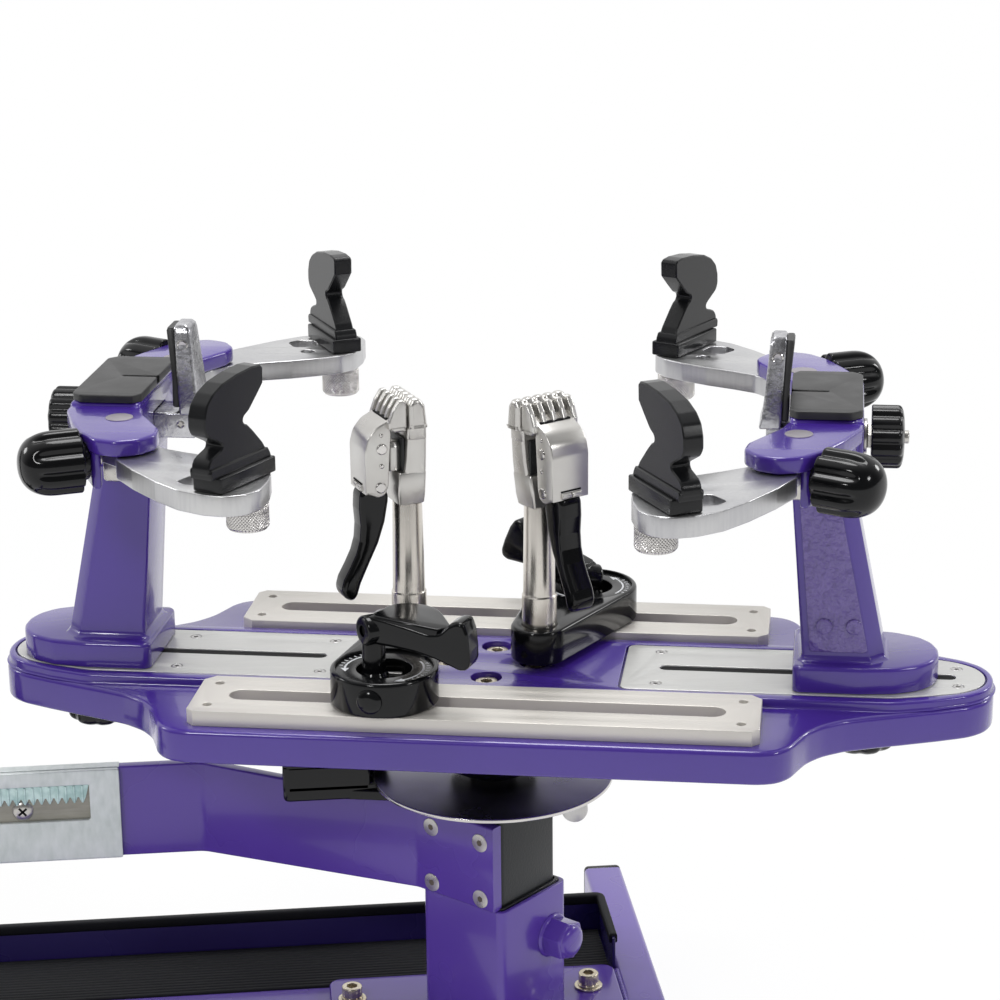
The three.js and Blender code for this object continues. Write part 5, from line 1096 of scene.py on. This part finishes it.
def buildBaseOf(end):
    d = clamp
    dial, post, top, body = d["dial"][end], d["post"][end], d["height"], f"{end} clamp carriage"
    loop = hullOf(circle(*dial, d["radius"], 72), circle(*post, d["postEnd"], 48))
    lower = slab(loop, 0.2, top - 1.7, 0.2, [circle(*dial, d["well"], 48)], 1.2)
    upper = slab(loop, top - 1.8, top, 1.6, [circle(*dial, d["recess"], 64), circle(*post, 8.3)], 0, 0.4)
    makePiece(f"clampBase_{end}", [lower, upper], body, "glossyBlackPlastic", f"clamp_base_{end}", tablePlace)
    onDial, onScrew = (tablePlace @ moved(*spot, 0) for spot in (dial, d["lever"][end][0]))
    ring = soft([[d["well"], 4.2], [d["well"], top - 1.3], [d["recess"] - 0.1, top - 1.3],
                 [d["recess"] - 0.1, top - 1.9]], 0.5, 64)
    makePiece(f"dialFace_{end}", [ring, lathe([[18.4, 4.3], [0, 4.3]])], body, "mouldedBlackPlastic",
              at=onDial)
    lugs = [put(slab(hexagon(13, 12), 4.2, 9.6, 0.8), np.linalg.inv(onDial) @ onScrew),
            block(-1.6, 6.4, 4.3, 7, 8.6, 10.5, 0.4), block(2, -9.6, 4.3, 8.6, -4.6, 8.4, 0.5)]
    makePiece(f"dialNut_{end}", lugs, body, "satinSteel", at=onDial)
    # two arcs, each with an arrow head, and ticks beside them
    bands, arrows, heights, middle = [], [], (top - 1.4, top - 1.24), d["mark"]
    for a, b, head, tip in ((112, 186, 186, 200), (-52, 34, -52, -66)):
        bands.append(np.vstack([arc(0, 0, middle + 0.45, a, b, 24), arc(0, 0, middle - 0.45, b, a, 24)]))
        corners = ((15.9, head), (19.7, head), (middle, tip))
        arrows.append(np.vstack([arc(0, 0, r, t, t, 1) for r, t in corners]))
    marks = [slab(loop, *heights, 0.05) for loop in (*bands, *arrows)]
    marks += [put(slab(rectangle(19.1, -0.3, 20.9, 0.3), *heights, 0.02), turned(a))
              for a in (*range(122, 178, 9), *range(-40, 30, 9))]
    makePiece(f"dialMarks_{end}", marks, body, "whitePrint", at=onDial @ turned(d["markTurn"][end]))
    if end == "left":
        button = lathe([[0, 2.2], [2.6, 2.1], [4.6, 1.5], [5.7, 0.5], [5.9, -1]])
        makePiece("dialButton", [button], body, "glossyBlackPlastic",
                  at=onDial @ turned(-97) @ moved(d["radius"], 0, 8.2) @ turned(90, "Y"))
    nut = soft([[0, -15.4], [9.6, -15.4], [9.6, -8], [5.6, -8], [5.6, 4], [6.9, 4.2], [6.9, 8],
                [0, 8]], 0.4, 40)
    makePiece(f"slideNut_{end}", [nut], body, "zincPlate", f"slide_nut_{end}", onScrew)


def buildLever(end):
    screwAt, leverZ, yaw, tilt = clamp["lever"][end]
    body, pivot, foot = f"{end} cam lever", tablePlace @ moved(*screwAt, leverZ), 8.4 - leverZ
    swing = turned(yaw) @ turned(-tilt, "Y")
    paddle = standing(rounded(leverProfile, 5), -6.6, 6.6, 1.8, count=5)
    # the palm rest is a D with its round side to the back, tilted by five degrees
    dShape = np.vstack([arc(16.4, 5.2, 14, -10, 204, 48), [[1.2, -4.6], [3, -6], [33, -6.2], [35.4, -3]],
                        arc(33, 0, 4, 0, 60, 8)])
    palm = put(slab(hullOf(dShape), 1.6, 6.6, 0.9, foot=1.8), moved(0, 0, 0.6) @ turned(5, "Y"))
    under = slab(hullOf(circle(12, 4, 9), circle(28, 0, 4, 24)), -5.4, 2.6, 0.4, foot=2.2)
    hub = soft([[0, foot], [6.6, foot], [6.6, foot + 3.6], [5.4, foot + 5.6], [5.2, -3], [0, -3]], 0.8, 40)
    makePiece(f"camLever_look_{end}", [*putAll((paddle, palm, under), swing), hub], body,
              "glossyBlackPlastic", f"cam_lever_{end}", pivot)
    eye = pivot @ swing @ moved(2.2, -0.5, -0.8) @ turned(-38) @ turned(90, "X")
    makePiece(f"camBarrel_{end}", [disk(6.9, -7.6, 7.6, 1.4, 48, 2.6)], body, "glossyBlackPlastic", at=eye)
    # the pin is near black: painted shade of the barrel's hole
    makePiece(f"camPin_{end}", [disk(2.7, -6.4, 6.4, 0)], body, "paintedShadeFill", at=eye)


def headPlace(end):
    # local X points from the fixed teeth to the moving ones, and local Y along the teeth
    onPost = tablePlace @ moved(*clamp["post"][end], 0) @ turned(clamp["yaw"][end])
    return onPost @ moved(-clamp["postQ"], 0, 0)


def teeth(profile, radii, half, edge, count=4):
    return [standing(rounded(profile, radii), y - half, y + half, edge, count=count)
            for y in (np.arange(5) - 2) * clamp["pitch"]]


def buildFixedJaw(end):
    place, body = headPlace(end), f"{end} clamp head"
    shaft = soft([[0, 4.6], [8.2, 4.6], [8.2, 31.2], [7.7, 31.8], [7.6, 33], [6.9, 75.6], [4.6, 75.6],
                  [4.6, 87], [0, 87]], 0.2, 64)
    makePiece(f"clampPost_look_{end}", [shaft], body, "turnedSteelPost", f"clamp_post_{end}",
              tablePlace @ moved(*clamp["post"][end], 0))
    lobes = teeth(fixedTooth, [0.2, 0.9, 1.6, 2.6, 2.6, 0.4], 2.7, 2.1, 5)
    makePiece(f"clampHead_look_{end}", [*[sections(rows) for rows in headStacks], *lobes], body,
              "nickelPlate", f"clamp_head_{end}", place)
    plunger = soft([[0, 92], [4.4, 92], [4.4, 103.5], [3.2, 106], [0, 106]], 0.6, 40)
    makePiece(f"headPlunger_{end}", [plunger], body, "nickelPlate", at=place @ moved(4.2, 2, 0))
    # a dark block of painted shade fills the slot between the head's back and the plunger
    makePiece(f"headShade_{end}", [block(0.2, -8.6, 91.9, 1.4, 8.6, 108, 0.3)], body, "powderBlackPaint",
              at=place)
    back = place @ laid(180, -9.4, 0, 106)
    boss = soft([[0, 0], [4.4, 0], [4.4, 1.4], [3.6, 2], [0, 2]], 0.6, 36)
    makePiece(f"headBoss_{end}", [boss], body, "nickelPlate", at=back)
    # a near-black hexagon of painted shade on the boss stands for its socket
    makePiece(f"headSocket_{end}", [cap([hexagon(3.2, 20)], 2.02)], body, "paintedShadeFill", at=back)


def buildMovingJaw(end):
    place, body = headPlace(end), f"{end} clamp jaw"
    # the folded cover is a front sheet bent over the top, with a cheek on each side
    sheet = standing(bar(rounded(coverSheet, [0, 10, 8, 8, 0], 6), 0.9), -10.4, 10.4, 0.5)
    cheek = rounded(coverCheek, [1, 8, 6, 6, 1, 4, 10, 4, 3, 3, 1], 6)
    cheeks = [standing(cheek, y, y + 1.7, 0.5) for y in (-10.5, 8.8)]
    # the bridge leans from the cover's top edge up to the teeth
    bridge = standing(rounded(bridgeOutline, [0.4, 0.4, 1, 1, 1, 1]), -12.2, 12.2, 1.0)
    row = teeth(movingTooth, [0.2, 0.8, 1, 1.6, 2, 0.8, 0.2], 1.45, 0.75)
    hinge = [put(disk(1.5, 0, 5.2, 0.3, 24), moved(20.0, y, 85.4) @ turned(-90, "X")) for y in (-5.5, 0.3)]
    makePiece(f"clampJaw_look_{end}", [sheet, *cheeks, bridge, *row, *hinge], body, "nickelPlate",
              f"clamp_jaw_{end}", place)
    # near-black strips of painted shade mark the slots by the bridge and the hinge
    slots = [block(7.2, -8.6, 117.2, 9.2, 8.6, 118.4, 0.1), block(19.9, -5.7, 87.2, 20.4, 5.7, 88, 0.1)]
    makePiece(f"jawShade_{end}", slots, body, "paintedShadeFill", at=place)
    pins = [put(soft([[0, -0.4], [r, -0.4], [r, 0.4], [r - 0.5, 0.75], [0, 0.8]], 0.25, 32),
                laid(s * 90, x, s * 10.5, z)) for s in (-1, 1) for x, z, r in rivets]
    makePiece(f"coverRivets_{end}", pins, body, "brightSteel", at=place)
    grip = standing(rounded(handleProfile, 6, 6), -6.2, 6.2, 2.4, count=6)
    makePiece(f"clampHandle_look_{end}", [grip], f"{end} clamp handle", "glossyBlackPlastic",
              f"clamp_handle_{end}", place)


for end in ends:
    for build in (buildBaseOf, buildLever, buildFixedJaw, buildMovingJaw):
        build(end)
print("clamps built")


stage = {"floorRadius": 9.0, "floorZ": -0.0005, "floorColour": (0.92, 0.92, 0.92, 1), "glow": (0.9, 1.0),
         "glowReach": (0.35, 1.3), "sky": 0.5, "brightWay": (-0.1, 0.86, 0.5), "brightReach": (-0.15, 0.75),
         "bright": (0.13, 1.0)}
# name: place, diameter, power and the height on the Z axis that it points at
lamps = {"keyLamp": ((-0.85, -1.15, 1.25), 0.3, 6, 0.28), "fillLamp": ((1.15, -0.95, 1.0), 0.26, 3.5, 0.3),
         "topLamp": ((0.05, 0.35, 1.9), 0.9, 17, 0.25), "leftRim": ((-1.5, 0.5, 0.95), 0.4, 4.5, 0.3),
         "rightRim": ((1.5, 0.5, 0.95), 0.4, 4.5, 0.3)}


def paleFloor():
    # plain diffuse under the machine, with more and more plain white for seen and mirrored rays further out
    material = bpy.data.materials.new("paleFloor")
    material.use_nodes = True
    tree = material.node_tree
    tree.nodes.clear()
    result, plain, glow, share, rays, away = (tree.nodes.new("ShaderNode" + kind) for kind in (
        "OutputMaterial", "BsdfDiffuse", "Emission", "MixShader", "LightPath", "VectorMath"))
    plain.inputs["Color"].default_value = stage["floorColour"]
    glow.inputs["Color"].default_value = (1, 1, 1, 1)
    away.operation = "LENGTH"
    tree.links.new(tree.nodes.new("ShaderNodeTexCoord").outputs["Object"], away.inputs[0])
    seen = mathNode(tree, "MAXIMUM", rays.outputs["Is Camera Ray"], rays.outputs["Is Glossy Ray"])
    fade = rangeNode(tree, away.outputs["Value"], stage["glowReach"], stage["glow"])
    for i, value in enumerate((mathNode(tree, "MULTIPLY", seen, fade), plain.outputs[0], glow.outputs[0])):
        tree.links.new(value, share.inputs[i])
    tree.links.new(share.outputs[0], result.inputs["Surface"])
    return material


def buildStage():
    loop = circle(0, 0, stage["floorRadius"], 96)
    mesh = bpy.data.meshes.new("floor")
    mesh.from_pydata(level(loop, stage["floorZ"]).tolist(), [], [tuple(range(len(loop)))])
    floor = bpy.data.objects.new("floor", mesh)
    bpy.context.scene.collection.objects.link(floor)
    mesh.materials.append(paleFloor())
    world = bpy.data.worlds.new("studio")
    bpy.context.scene.world = world
    world.use_nodes = True
    tree = world.node_tree
    kinds = ("LightPath", "VectorMath", "TexCoord")
    rays, way, spot = (tree.nodes.new("ShaderNode" + kind) for kind in kinds)
    # a mirrored ray meets a dim room behind the viewer and a pale wall beyond the machine
    way.operation = "DOT_PRODUCT"
    tree.links.new(spot.outputs["Generated"], way.inputs[0])
    way.inputs[1].default_value = stage["brightWay"]
    room = rangeNode(tree, way.outputs["Value"], stage["brightReach"], stage["bright"])
    change = mathNode(tree, "SUBTRACT", room, stage["sky"])
    gloss = mathNode(tree, "MULTIPLY", rays.outputs["Is Glossy Ray"], change)
    seen = mathNode(tree, "MAXIMUM", rays.outputs["Is Camera Ray"], rays.outputs["Is Transmission Ray"])
    strength = mathNode(tree, "MAXIMUM", mathNode(tree, "ADD", gloss, stage["sky"]), seen)
    tree.nodes["Background"].inputs["Color"].default_value = (1, 1, 1, 1)
    tree.links.new(strength, tree.nodes["Background"].inputs["Strength"])
    for name, (place, size, power, aim) in lamps.items():
        data = bpy.data.lights.new(name, "AREA")
        data.shape, data.size, data.energy = "DISK", size, power
        lamp = bpy.data.objects.new(name, data)
        lamp.location = place
        lamp.rotation_euler = (Vector((0, 0, aim)) - Vector(place)).to_track_quat("-Z", "Y").to_euler()
        bpy.context.scene.collection.objects.link(lamp)


# the eye in the turntable's own frame, and the turns that bring the picture's edges into line
camera = {"eye": (158.316, -1204.977, 455.925), "yaw": -7.270, "down": 17.326, "roll": -0.593,
          "focal": 2753.58, "image": 1000, "sensor": 36}


def buildCamera():
    d = camera
    data = bpy.data.cameras.new("photoCamera")
    data.sensor_width = d["sensor"]
    data.lens = d["focal"] * d["sensor"] / d["image"]
    data.clip_start, data.clip_end = 0.05, 60
    eye = bpy.data.objects.new("photoCamera", data)
    bpy.context.scene.collection.objects.link(eye)
    yaw, down, roll = (math.radians(d[k]) for k in ("yaw", "down", "roll"))
    forward = np.array([math.sin(yaw) * math.cos(down), math.cos(yaw) * math.cos(down), -math.sin(down)])
    right = np.array([math.cos(yaw), -math.sin(yaw), 0])
    up = np.cross(right, forward)
    rolled = (right * math.cos(roll) + up * math.sin(roll), up * math.cos(roll) - right * math.sin(roll),
              -forward)
    m = np.eye(4)
    m[:3, :3] = turned(spin["turn"])[:3, :3] @ np.column_stack(rolled)
    m[:3, 3] = (tablePlace @ [*d["eye"], 1])[:3] * metresPerMm
    eye.matrix_world = Matrix(m.tolist())
    bpy.context.scene.camera = eye


buildStage()
buildCamera()
bpy.context.scene.view_settings.view_transform = "Standard"
